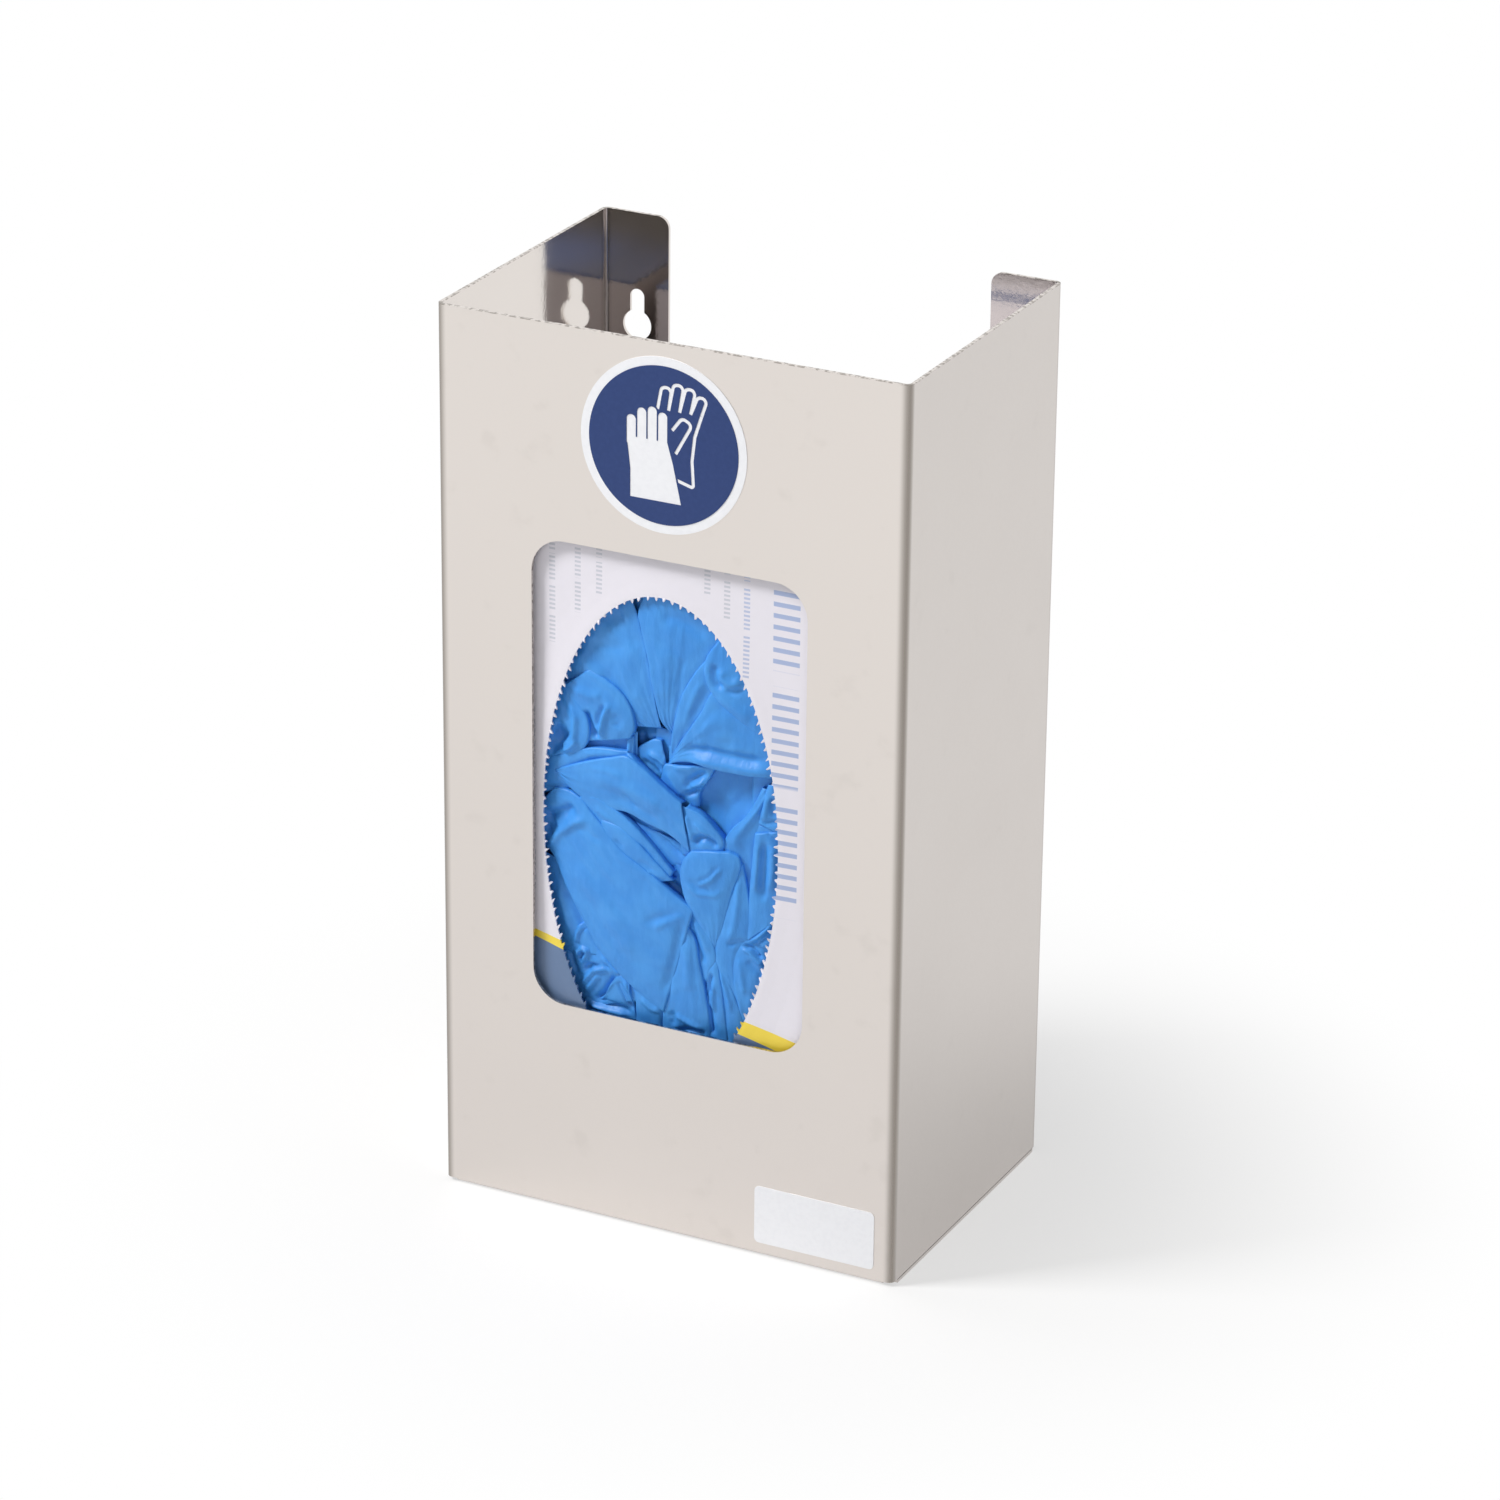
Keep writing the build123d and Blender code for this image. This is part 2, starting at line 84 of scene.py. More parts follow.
# Shader maths

@dataclass(frozen=True)
class Value:
    """A number that varies over a surface. Its operators add Math nodes."""

    nodes: "Nodes"
    socket: bpy.types.NodeSocket

    def _math(self, operation: str, *operands: object) -> "Value":
        """Add a Math node.

        Args:
            operation: The node's operation.
            operands: Its inputs in order, numbers or values.

        Returns:
            The node's result.
        """
        made = self.nodes.node("ShaderNodeMath", {"operation": operation},
                               dict(enumerate(operands)))
        return Value(self.nodes, made.outputs[0])

    def __add__(self, other: object) -> "Value":
        """Sum."""
        return self._math("ADD", self, other)

    __radd__ = __add__

    def __sub__(self, other: object) -> "Value":
        """Difference."""
        return self._math("SUBTRACT", self, other)

    def __rsub__(self, other: object) -> "Value":
        """Difference, with the number first."""
        return self._math("SUBTRACT", other, self)

    def __mul__(self, other: object) -> "Value":
        """Product."""
        return self._math("MULTIPLY", self, other)

    __rmul__ = __mul__

    def __truediv__(self, other: object) -> "Value":
        """Quotient."""
        return self._math("DIVIDE", self, other)

    def __rtruediv__(self, other: object) -> "Value":
        """Quotient, with the number first."""
        return self._math("DIVIDE", other, self)

    def __abs__(self) -> "Value":
        """Size without its sign."""
        return self._math("ABSOLUTE", self)

    def most(self, other: object) -> "Value":
        """The larger of the two."""
        return self._math("MAXIMUM", self, other)

    def root(self) -> "Value":
        """Square root."""
        return self._math("SQRT", self)

    def wrapped(self, period: float) -> "Value":
        """The distance into the current repeat of a period."""
        return self._math("FLOORED_MODULO", self, period)

    def ramp(self, start: float, end: float) -> "Value":
        """A soft step.

        Args:
            start: The value at which the result is 0.
            end: The value at which the result is 1.

        Returns:
            A value from 0 to 1.
        """
        made = self.nodes.node(
            "ShaderNodeMapRange", {"interpolation_type": "SMOOTHSTEP"},
            {"Value": self, "From Min": start, "From Max": end})
        return Value(self.nodes, made.outputs[0])

    def inside(self, low: float, high: float, soft: float = 0.1) -> "Value":
        """1 where the value lies between two limits, with soft sides."""
        return self.ramp(low - soft, low + soft) * self.ramp(high + soft, high - soft)


class Nodes:
    """A node tree and the ways to fill it."""

    def __init__(self, tree: bpy.types.NodeTree) -> None:
        """Start with an empty tree.

        Args:
            tree: The tree of a material or a world.
        """
        self.tree = tree
        self.tree.nodes.clear()

    def node(self, kind: str, settings: dict | None = None,
             inputs: dict | None = None) -> bpy.types.Node:
        """Add any node.

        Args:
            kind: The node's type.
            settings: Properties to set first.
            inputs: Values, sockets or wrapped values, by socket name or number.

        Returns:
            The new node.
        """
        made = self.tree.nodes.new(kind)
        for key, setting in (settings or {}).items():
            setattr(made, key, setting)
        for key, given in (inputs or {}).items():
            socket = made.inputs[key]
            source = getattr(given, "socket", given)
            if isinstance(source, bpy.types.NodeSocket):
                self.tree.links.new(source, socket)
            elif isinstance(source, tuple) and socket.type == "RGBA":
                socket.default_value = (*source, 1.0)
            else:
                socket.default_value = source
        return made

    def seen(self) -> Value:
        """Tell the rays that see a surface from those that light it.

        Returns:
            1 for rays from the camera, gloss and glass, and 0 for the rest.
        """
        paths = self.node("ShaderNodeLightPath")
        camera, glossy, through = (
            Value(self, paths.outputs[f"Is {kind} Ray"])
            for kind in ("Camera", "Glossy", "Transmission"))
        return camera.most(glossy).most(through)

    def mixed(self, factor: Value, first: bpy.types.Node, second: bpy.types.Node,
              output: str) -> None:
        """Finish the tree with a mix of two shaders.

        Args:
            factor: 0 for the first and 1 for the second.
            first: The first shader's node.
            second: The second shader's node.
            output: The type of the output node.
        """
        both = self.node("ShaderNodeMixShader", None,
                         {0: factor, 1: first.outputs[0], 2: second.outputs[0]})
        self.node(output, None, {0: both.outputs[0]})


class Shader(Nodes):
    """One material's nodes."""

    def __init__(self, name: str) -> None:
        """Start an empty material.

        Args:
            name: The material's name.
        """
        self.material = bpy.data.materials.new(name)
        self.material.use_nodes = True
        super().__init__(self.material.node_tree)
        self.places = self.node("ShaderNodeTexCoord").outputs["Object"]

    def millimetres(self) -> tuple[Value, Value, Value]:
        """The place on the object, as three values in millimetres."""
        parts = self.node("ShaderNodeSeparateXYZ", None, {0: self.places})
        return tuple(Value(self, out) * 1000.0 for out in parts.outputs)

    def grain(self, size: float, detail: float = 2.0,
              stretch: tuple[float, float, float] = WHITE) -> Value:
        """Noise on the object's own coordinates.

        Args:
            size: The size of its blotches, in millimetres.
            detail: How many finer layers it has.
            stretch: How many times longer the blotches are along each axis.

        Returns:
            A value from 0 to 1, about a half.
        """
        scale = tuple(1.0 / (size * MM * part) for part in stretch)
        placed = self.node("ShaderNodeMapping", None, {"Vector": self.places, "Scale": scale})
        made = self.node("ShaderNodeTexNoise", {"noise_dimensions": "3D"},
                         {"Vector": placed.outputs[0], "Scale": 1.0, "Detail": detail,
                          "Roughness": 0.5})
        return Value(self, made.outputs[0])

    def blend(self, mask: object, under: object, over: object) -> bpy.types.NodeSocket:
        """Mix two colours.

        Args:
            mask: 0 for the first colour and 1 for the second.
            under: The first colour.
            over: The second colour.

        Returns:
            The mixed colour.
        """
        made = self.node("ShaderNodeMix", {"data_type": "RGBA"}, {0: mask, 6: under, 7: over})
        return made.outputs[2]

    def bump(self, height: Value, distance: float) -> bpy.types.NodeSocket:
        """A normal from a height.

        Args:
            height: The height, from 0 to 1.
            distance: How high 1 is, in millimetres.

        Returns:
            The normal.
        """
        made = self.node("ShaderNodeBump", None, {
            "Height": height, "Distance": distance * MM, "Strength": 1.0})
        return made.outputs[0]

    def surface(self, **inputs: object) -> bpy.types.Material:
        """Finish the material with one Principled shader.

        Args:
            inputs: Its sockets' values or links, with _ for each space in their names.

        Returns:
            The material.
        """
        named = {key.replace("_", " "): given for key, given in inputs.items()}
        made = self.node("ShaderNodeBsdfPrincipled", None, named)
        self.node("ShaderNodeOutputMaterial", None, {0: made.outputs[0]})
        return self.material


# Finishes

@dataclass(frozen=True)
class SatinSteel:
    """Stainless sheet: satin outside, brighter inside, with darker sheared edges; painted shade
    darkens it towards the bottom and on the sides, and a painted dark reflection runs along the
    bends.
    """

    # light and shaded are lit and shaded copies of the same steel: painted light at the top,
    # painted shade at the bottom.
    light: tuple = (0.750, 0.700, 0.660)
    shaded: tuple = (0.690, 0.640, 0.605)
    # Painted shade on the side faces.
    painted_side_shade: tuple = (0.560, 0.530, 0.510)
    # Painted dark reflection along the vertical bends.
    bent: tuple = (0.215, 0.190, 0.165)
    sheared: tuple = (0.300, 0.270, 0.240)
    spots: tuple = (0.420, 0.385, 0.350)
    outer_roughness: float = 0.34
    inner_roughness: float = 0.09
    half_width: float = HOLDER_HIGH[0]
    half_depth: float = HOLDER_HIGH[1]
    height: float = HOLDER_HIGH[2]
    skin: float = 0.3
    lip: float = 0.7
    bend_across: tuple = (3.2, 0.4)
    bend_deep: tuple = (2.6, 0.6)
    top_cut: tuple = (0.35, 0.1)
    rim_step: tuple = (0.08, -0.02)
    rim_depths: tuple = (0.1, 0.95)
    window_half_width: float = 42.0
    window_half_height: float = 69.5
    window_z: float = 133.5
    cloud_size: float = 46.0
    smudge_size: float = 9.0
    fine_size: float = 1.1
    burr_size: float = 1.3
    smudge_limits: tuple = (0.60, 0.78)
    burr_limits: tuple = (0.42, 0.62)
    # Share of the painted shade at the bottom, then the spread of the random cloud tone.
    painted_shade_share: float = 0.85
    cloud_tone_spread: float = 0.35
    smudge_share: float = 0.10
    # Share of the painted side shade.
    painted_side_shade_share: float = 0.5
    # Share of the painted bend reflection.
    painted_bend_share: float = 0.85
    sheared_share: float = 0.85
    cloud_gloss: float = 0.10
    fine_gloss: float = 0.08
    smudge_relief: float = 0.4
    relief: float = 0.012

    def material(self) -> bpy.types.Material:
        """Make the finish.

        Returns:
            The material.
        """
        shader = Shader("satin_steel")
        x, y, z = shader.millimetres()
        inner = abs(x).ramp(self.half_width - self.skin, self.half_width - self.lip) \
            * abs(y).ramp(self.half_depth - self.skin, self.half_depth - self.lip)
        # Painted reflection: a dark band along the vertical bends at the corners.
        painted_bend_mask = abs(x).ramp(*(self.half_width - part for part in self.bend_across)) \
            * abs(y).ramp(*(self.half_depth - part for part in self.bend_deep))
        top = z.ramp(*(self.height - part for part in self.top_cut))
        cut = top.most(self._window_rim(x, y, z))
        # Painted shade: the side faces are darker than the front.
        side = abs(x).ramp(self.half_width - self.skin, self.half_width)
        cloud = shader.grain(self.cloud_size, 3.0)
        fine = shader.grain(self.fine_size)
        smudge = shader.grain(self.smudge_size, 3.0).ramp(*self.smudge_limits)
        burr = shader.grain(self.burr_size).ramp(*self.burr_limits)
        # Painted shade: the steel goes from light at the top to shaded at the bottom, with a
        # random cloud tone on top.
        painted_shade_and_cloud = z.ramp(self.height, 0.0) * self.painted_shade_share \
            + (cloud - 0.5) * self.cloud_tone_spread
        tone = shader.blend(painted_shade_and_cloud, self.light, self.shaded)
        # Random smudges, then the painted side shade, the painted bend reflection and the dark
        # sheared edges.
        for mask, colour in ((smudge * self.smudge_share, self.spots),
                             (side * self.painted_side_shade_share, self.painted_side_shade),
                             (painted_bend_mask * self.painted_bend_share, self.bent),
                             (cut * burr * self.sheared_share, self.sheared)):
            tone = shader.blend(mask, tone, colour)
        rough = self.outer_roughness + (cloud - 0.5) * self.cloud_gloss \
            + (fine - 0.5) * self.fine_gloss
        rough = rough - inner * (self.outer_roughness - self.inner_roughness)
        return shader.surface(
            Base_Color=tone, Metallic=1.0, Roughness=rough,
            Normal=shader.bump(fine + smudge * self.smudge_relief, self.relief))

    def _window_rim(self, x: Value, y: Value, z: Value) -> Value:
        """Find the cut edge of the front's window.

        Args:
            x: The place across.
            y: The depth.
            z: The height.

        Returns:
            1 on the edge and 0 elsewhere.
        """
        across = abs(x).ramp(*(self.window_half_width + part for part in self.rim_step))
        up = abs(z - self.window_z).ramp(
            *(self.window_half_height + part for part in self.rim_step))
        sheet = y.inside(*(-self.half_depth + part for part in self.rim_depths), 0.05)
        return across * up * sheet


@dataclass(frozen=True)
class StickerFilm:
    """Printed vinyl: one colour, faintly mottled, with a soft gloss."""

    name: str
    colour: tuple
    mottle: tuple
    roughness: float = 0.38
    spot_size: float = 1.4
    spot_limits: tuple = (0.35, 0.75)
    spot_share: float = 0.5
    gloss_size: float = 6.0
    gloss_spread: float = 0.12
    pore_size: float = 0.8
    relief: float = 0.01
    specular: float = 0.3

    def material(self) -> bpy.types.Material:
        """Make the finish.

        Returns:
            The material.
        """
        shader = Shader(self.name)
        spots = shader.grain(self.spot_size, 3.0).ramp(*self.spot_limits) * self.spot_share
        tone = shader.blend(spots, self.colour, self.mottle)
        rough = self.roughness + (shader.grain(self.gloss_size) - 0.5) * self.gloss_spread
        return shader.surface(
            Base_Color=tone, Roughness=rough, Specular_IOR_Level=self.specular,
            Normal=shader.bump(shader.grain(self.pore_size), self.relief))


@dataclass(frozen=True)
class PrintedCard:
    """Coated carton card with its print: a slanting band, a dark field and plain bars."""

    white: tuple = (0.780, 0.755, 0.820)
    fibre: tuple = (0.640, 0.600, 0.560)
    yellow: tuple = (0.860, 0.660, 0.060)
    slate: tuple = (0.120, 0.190, 0.330)
    night: tuple = (0.030, 0.050, 0.110)
    ink: tuple = (0.010, 0.012, 0.016)
    end_blue: tuple = (0.032, 0.070, 0.210)
    bars: tuple = (0.270, 0.370, 0.620)
    notes: tuple = (0.420, 0.450, 0.520)
    left: float = CARTON_LOW[0]
    front: float = CARTON_LOW[1]
    bottom: float = CARTON_LOW[2]
    right: float = CARTON_HIGH[0]
    back: float = CARTON_HIGH[1]
    top: float = CARTON_HIGH[2]
    face_step: tuple = (0.95, 0.75)
    end_step: tuple = (0.7, 0.5)
    worn_step: tuple = (62.55, 62.95)
    flap_setback: float = 4.0
    seam_step: tuple = (0.35, 0.15)
    seam_share: float = 0.8
    end_left: tuple = (-8.0, -8.4)
    end_right: tuple = (-8.0, -7.6)
    end_fade: tuple = (-24.0, 8.0)
    stripe_sides: tuple = (-19.0, -12.7)
    print_step: tuple = (0.06, -0.06)
    band_left: float = 89.5
    band_right: float = 62.5
    band_thin: float = 1.4
    band_broad: float = 6.0
    title_sides: tuple = (30.6, 38.6)
    title_ends: tuple = (104.0, 201.0)
    title_words: tuple = (34.0, 0.14)
    title_strokes: tuple = (3.3, 0.60)
    title_share: float = 0.8
    notes_share: float = 0.6
    line_step: tuple = (1.0, 0.85)
    line_word: float = 9.0
    line_gap: float = 0.12
    line_strokes: tuple = (1.25, 0.5)
    margin_sides: tuple = (22.6, 24.1)
    margin_ends: tuple = (96.0, 152.0)
    field_low: float = 18.0
    lines_top: float = 205.0
    lines: tuple = ((-36.9, 171.0), (-29.0, 181.0), (-22.4, 187.0),
                    (10.6, 193.0), (16.6, 187.0), (22.6, 171.0))

    def material(self) -> bpy.types.Material:
        """Make the finish.

        Returns:
            The material.
        """
        shader = Shader("printed_card")
        x, y, z = shader.millimetres()
        face = y.ramp(*(self.front + part for part in self.face_step))
        tone = shader.blend(shader.grain(2.2, 3.0) * 0.12, self.white, self.fibre)
        tone = self._front_bars(shader, x, z, face, tone)
        tone = self._fields(shader, x, z, face, tone)
        tone = self._ends(shader, x, y, z, tone)
        away = abs(x - (self.left + self.right) / 2)
        worn = away.ramp(*self.worn_step) * shader.grain(3.0).ramp(0.4, 0.7)
        tone = shader.blend(worn * 0.5, tone, self.fibre)
        rough = 0.42 + (shader.grain(5.0) - 0.5) * 0.12
        return shader.surface(
            Base_Color=tone, Roughness=rough, Coat_Weight=0.12, Coat_Roughness=0.3,
            Normal=shader.bump(shader.grain(1.6, 3.0), 0.02))

    def _front_bars(self, shader: Shader, x: Value, z: Value, face: Value,
                    tone: object) -> object:
        """Plain bars where a carton has its lines of print.

        Args:
            shader: The material's shader.
            x: The place across.
            z: The height.
            face: 1 on the front.
            tone: The colour so far.

        Returns:
            The colour with the bars.
        """
        title = x.inside(*self.title_sides, 0.06)
        words = self._runs(z, *self.title_ends, *self.title_words)
        strokes = self._runs(z, *self.title_ends, *self.title_strokes)
        tone = shader.blend(title * words * strokes * face * self.title_share, tone, self.bars)
        for line, (place, low) in enumerate(self.lines):
            column = abs(x - place).ramp(*self.line_step)
            words = self._runs(z, low, self.lines_top, self.line_word + line, self.line_gap)
            strokes = self._runs(z, low, self.lines_top, *self.line_strokes)
            colour = self.bars if line == len(self.lines) - 1 else self.notes
            mask = column * words * strokes * face * self.notes_share
            tone = shader.blend(mask, tone, colour)
        margin = x.inside(*(self.left + part for part in self.margin_sides), 0.05) \
            * z.inside(*self.margin_ends, 0.3)
        specks = shader.grain(0.8, 1.0).ramp(0.45, 0.55)
        return shader.blend(margin * specks * face * self.notes_share, tone, self.notes)

    def _fields(self, shader: Shader, x: Value, z: Value, face: Value, tone: object) -> object:
        """The slanting yellow band and the slate field below it.

        Args:
            shader: The material's shader.
            x: The place across.
            z: The height.
            face: 1 on the front.
            tone: The colour so far.

        Returns:
            The colour with the two fields.
        """
        across = (x - self.left) / (self.right - self.left)
        band_top = self.band_left + across * (self.band_right - self.band_left)
        band_low = band_top - self.band_thin - across * (self.band_broad - self.band_thin)
        deep = z.ramp(self.band_right, self.bottom + self.field_low)
        tone = shader.blend((z - band_top).ramp(*self.print_step) * face, tone, self.yellow)
        below = shader.blend(deep, self.slate, self.night)
        return shader.blend((z - band_low).ramp(*self.print_step) * face, tone, below)

    @staticmethod
    def _runs(z: Value, low: float, high: float, period: float, gap: float) -> Value:
        """Breaks along a printed column.

        Args:
            z: The height.
            low: The column's lower end.
            high: The column's upper end.
            period: The distance from one break to the next.
            gap: The share of the period that stays bare.

        Returns:
            1 on the print and 0 in its breaks.
        """
        wave = (z - low).wrapped(period) / period
        return wave.ramp(gap - 0.02, gap + 0.02) * z.inside(low, high, 0.3)

    def _ends(self, shader: Shader, x: Value, y: Value, z: Value, tone: object) -> object:
        """Print and flap seam on the two ends.

        Args:
            shader: The material's shader.
            x: The place across.
            y: The depth.
            z: The height.
            tone: The colour so far.

        Returns:
            The colour with the end print.
        """
        end = z.ramp(*(self.top - part for part in self.end_step)) \
            .most(z.ramp(*(self.bottom + part for part in self.end_step)))
        seam = abs(y - (self.back - self.flap_setback)).ramp(*self.seam_step)
        dark = shader.blend(y.ramp(*self.end_fade), self.ink, self.end_blue)
        stripe = y.inside(*self.stripe_sides, 0.1) * x.ramp(*self.end_right)
        for mask, colour in ((x.ramp(*self.end_left), dark), (stripe, self.end_blue),
                             (seam * self.seam_share, self.ink)):
            tone = shader.blend(end * mask, tone, colour)
        return tone


@dataclass(frozen=True)
class NitrileFilm:
    """Thin blue dipped film: matt, faintly rippled, with fine pores."""

    lit: tuple = (0.062, 0.305, 0.760)
    deep: tuple = (0.048, 0.265, 0.710)
    roughness: float = 0.44
    cloud_size: float = 7.0
    cloud_limits: tuple = (0.3, 0.7)
    pore_size: float = 0.35
    pore_share: float = 0.06
    ripple_size: float = 3.0
    ripple_stretch: tuple = (0.6, 1.0, 1.9)
    gloss_spread: float = 0.1
    specular: float = 0.35
    relief: float = 0.22

    def material(self) -> bpy.types.Material:
        """Make the finish.

        Returns:
            The material.
        """
        shader = Shader("nitrile_film")
        cloud = shader.grain(self.cloud_size)
        pores = shader.grain(self.pore_size)
        ripples = shader.grain(self.ripple_size, 3.0, self.ripple_stretch)
        return shader.surface(
            Base_Color=shader.blend(cloud.ramp(*self.cloud_limits), self.deep, self.lit),
            Roughness=self.roughness + (cloud - 0.5) * self.gloss_spread,
            Specular_IOR_Level=self.specular,
            Normal=shader.bump(ripples + pores * self.pore_share, self.relief))


# Pieces

def finish_piece(name: str, mesh: bmesh.types.BMesh, material: bpy.types.Material,
                 replaced: tuple[str, ...], smooth: bool = True) -> bpy.types.Object:
    """Make a piece that rides on the holder.

    Args:
        name: The piece's name.
        mesh: Its mesh, in millimetres in the row frame.
        material: Its material.
        replaced: The CAD nodes that it stands for.
        smooth: True for a soft surface and False for flat faces.

    Returns:
        The new object.
    """
    bmesh.ops.scale(mesh, vec=(MM, MM, MM), verts=mesh.verts)
    data = bpy.data.meshes.new(name)
    mesh.to_mesh(data)
    mesh.free()
    data.materials.append(material)
    data.polygons.foreach_set("use_smooth", [smooth] * len(data.polygons))
    piece = bpy.data.objects.new(name, data)
    bpy.context.scene.collection.objects.link(piece)
    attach(piece, ROOT)
    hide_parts(*replaced)
    log.info("%s: %d faces", name, len(data.polygons))
    return piece


def thicken(piece: bpy.types.Object, thickness: float) -> None:
    """Give an open sheet its thickness, inwards.

    Args:
        piece: The sheet.
        thickness: The thickness, in millimetres.
    """
    modifier = piece.modifiers.new("thickness", "SOLIDIFY")
    modifier.thickness = thickness * MM
    modifier.offset = -1.0
    modifier.use_even_offset = False


@dataclass
class Holder:
    """The bent steel holder with its two stickers, all kept from the CAD."""

    steel: SatinSteel = SatinSteel()
    sign_base: StickerFilm = StickerFilm("sign_white", (0.850, 0.855, 0.880),
                                         (0.800, 0.805, 0.835))
    sign_field: StickerFilm = StickerFilm("sign_blue", (0.020, 0.046, 0.165),
                                          (0.026, 0.056, 0.190))
    label: StickerFilm = StickerFilm("label_white", (0.830, 0.835, 0.860),
                                     (0.780, 0.785, 0.815))

    def dress(self) -> None:
        """Give each kept node its material."""
        finishes = {
            "holder_body": self.steel, "sign_sticker": self.sign_base,
            "sign_print": self.sign_field, "label_sticker": self.label}
        for name, finish in finishes.items():
            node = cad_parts[name]
            node.data.materials.clear()
            node.data.materials.append(finish.material())
            log.info("%s dressed", name)


@dataclass
class Carton:
    """The card carton, with the oval that was torn out along its perforation."""

    width: float = CARTON_HIGH[0] - CARTON_LOW[0]
    depth: float = CARTON_HIGH[1] - CARTON_LOW[1]
    height: float = CARTON_HIGH[2] - CARTON_LOW[2]
    centre_x: float = CARTON_MIDDLE
    front: float = CARTON_LOW[1]
    bottom: float = CARTON_LOW[2]
    card: float = 0.5
    bow: float = 0.42
    opening_half_width: float = 36.4
    opening_upper: float = 69.2
    opening_lower: float = 75.6
    opening_z: float = OPENING_MIDDLE
    opening_margins: tuple = ((0.15, 0.42), (1.2, 0.40), (4.0, 0.2), (9.0, 0.0))
    fold: tuple = ((0.9, 0.0), (0.42, 0.12), (0.12, 0.42), (0.0, 0.9))
    nib_pitch: float = 2.6
    nib_shift: tuple = (-0.08, 0.08)
    nib_width: tuple = (0.8, 1.25)
    nib_length: tuple = (0.7, 1.35)
    nib_lean: tuple = (-0.25, 0.25)
    nib_lift: tuple = (-0.55, 0.35)
    tie_bite: tuple = (-0.03, 0.06)
    seed: int = 11
    print_finish: PrintedCard = PrintedCard()

    def build(self) -> None:
        """Build the carton, which stands for its own node and its print."""
        mesh = bmesh.new()
        rings = [self._ring(mesh, places) for places in self._profile()]
        for inner, outer in zip(rings, rings[1:]):
            bmesh.ops.bridge_loops(mesh, edges=inner + outer)
        bmesh.ops.edgeloop_fill(mesh, edges=rings[-1])
        bmesh.ops.recalc_face_normals(mesh, faces=mesh.faces)
        back = max(mesh.faces, key=lambda face: face.calc_center_median().y)
        if back.normal.y < 0:
            bmesh.ops.reverse_faces(mesh, faces=mesh.faces)
        piece = finish_piece(
            "carton_card", mesh, self.print_finish.material(),
            ("carton", "carton_yellow_print", "carton_slate_print", "carton_text_bars"),
            smooth=False)
        thicken(piece, self.card)

    def _profile(self) -> list[np.ndarray]:
        """Shape the carton.

        Returns:
            Rings of places from the torn edge, over the face and sides, to the back.
        """
        torn, turn = self._torn_edge()
        oval = np.stack((np.cos(turn), np.sin(turn)), 1)
        rings = [torn]
        for margin, bow in self.opening_margins:
            across = self.centre_x + oval[:, 0] * (self.opening_half_width + margin)
            up = self.opening_z + oval[:, 1] * (self._half_height(oval[:, 1]) + margin)
            rings.append(np.stack((across, np.full(len(torn), self.front - bow), up), 1))
        rings += [self._border(oval, inset, back) for inset, back in self.fold]
        rings += [self._border(oval, inset, self.depth - back)
                  for inset, back in reversed(self.fold)]
        return rings

    def _half_height(self, up: np.ndarray) -> np.ndarray:
        """Half the opening's height: it is longer below its middle than above."""
        return np.where(up > 0, self.opening_upper, self.opening_lower)

    def _border(self, oval: np.ndarray, inset: float, back: float) -> np.ndarray:
        """A ring round the carton's outline.

        Args:
            oval: Directions of the ring's places from the middle of the opening.
            inset: How far inside the outline it lies.
            back: How far behind the face it lies.

        Returns:
            The ring's places.
        """
        low = self.bottom - self.opening_z + inset
        high = self.bottom + self.height - self.opening_z - inset
        half = self.width / 2 - inset
        slope = oval * np.array((self.opening_half_width, self.opening_upper))
        reach = np.minimum(half / np.maximum(np.abs(slope[:, 0]), 1e-6),
                           np.where(slope[:, 1] > 0, high, -low)
                           / np.maximum(np.abs(slope[:, 1]), 1e-6))
        flat = slope * reach[:, None]
        for corner in ((half, high), (-half, high), (-half, low), (half, low)):
            nearest = np.argmin(np.linalg.norm(flat - np.array(corner), axis=1))
            flat[nearest] = corner
        return np.stack((self.centre_x + flat[:, 0], np.full(len(flat), self.front + back),
                         self.opening_z + flat[:, 1]), 1)

    def _torn_edge(self) -> tuple[np.ndarray, np.ndarray]:
        """The torn edge: an oval with a ragged nib at each tie of the perforation.

        Returns:
            The edge's places, and the turn round the oval of each.
        """
        draw = random.Random(self.seed)
        fine = np.linspace(0, 2 * math.pi, 4001)
        across = np.cos(fine) * self.opening_half_width
        up = np.sin(fine) * self._half_height(np.sin(fine))
        girth = np.concatenate(([0.0], np.cumsum(np.hypot(np.diff(across), np.diff(up)))))
        nibs = round(girth[-1] / self.nib_pitch)
        places, turns = [], []
        for number in range(nibs):
            start = (number + draw.uniform(*self.nib_shift)) / nibs * girth[-1]
            width = draw.uniform(*self.nib_width)
            length = draw.uniform(*self.nib_length)
            lean = draw.uniform(*self.nib_lean)
            lift = draw.uniform(*self.nib_lift)
            nib = ((0.0, 0.0, 0.0), (0.22 + lean / 3, 0.75, 0.6), (0.45 + lean, 1.0, 1.0),
                   (0.8 + lean / 3, 0.45, 0.3), (1.0, 0.0, 0.0),
                   (2.1, draw.uniform(*self.tie_bite), 0.0))
            for along, inward, out in nib:
                turn = np.interp((start + along * width) % girth[-1], girth, fine)
                half_height = float(self._half_height(math.sin(turn)))
                spot = np.array((math.cos(turn) * self.opening_half_width,
                                 math.sin(turn) * half_height))
                spot -= spot / np.linalg.norm(spot) * inward * length
                turns.append(turn)
                places.append((self.centre_x + spot[0], self.front - self.bow + out * lift,
                               self.opening_z + spot[1]))
        order = np.argsort(turns)
        return np.array(places)[order], np.array(turns)[order]

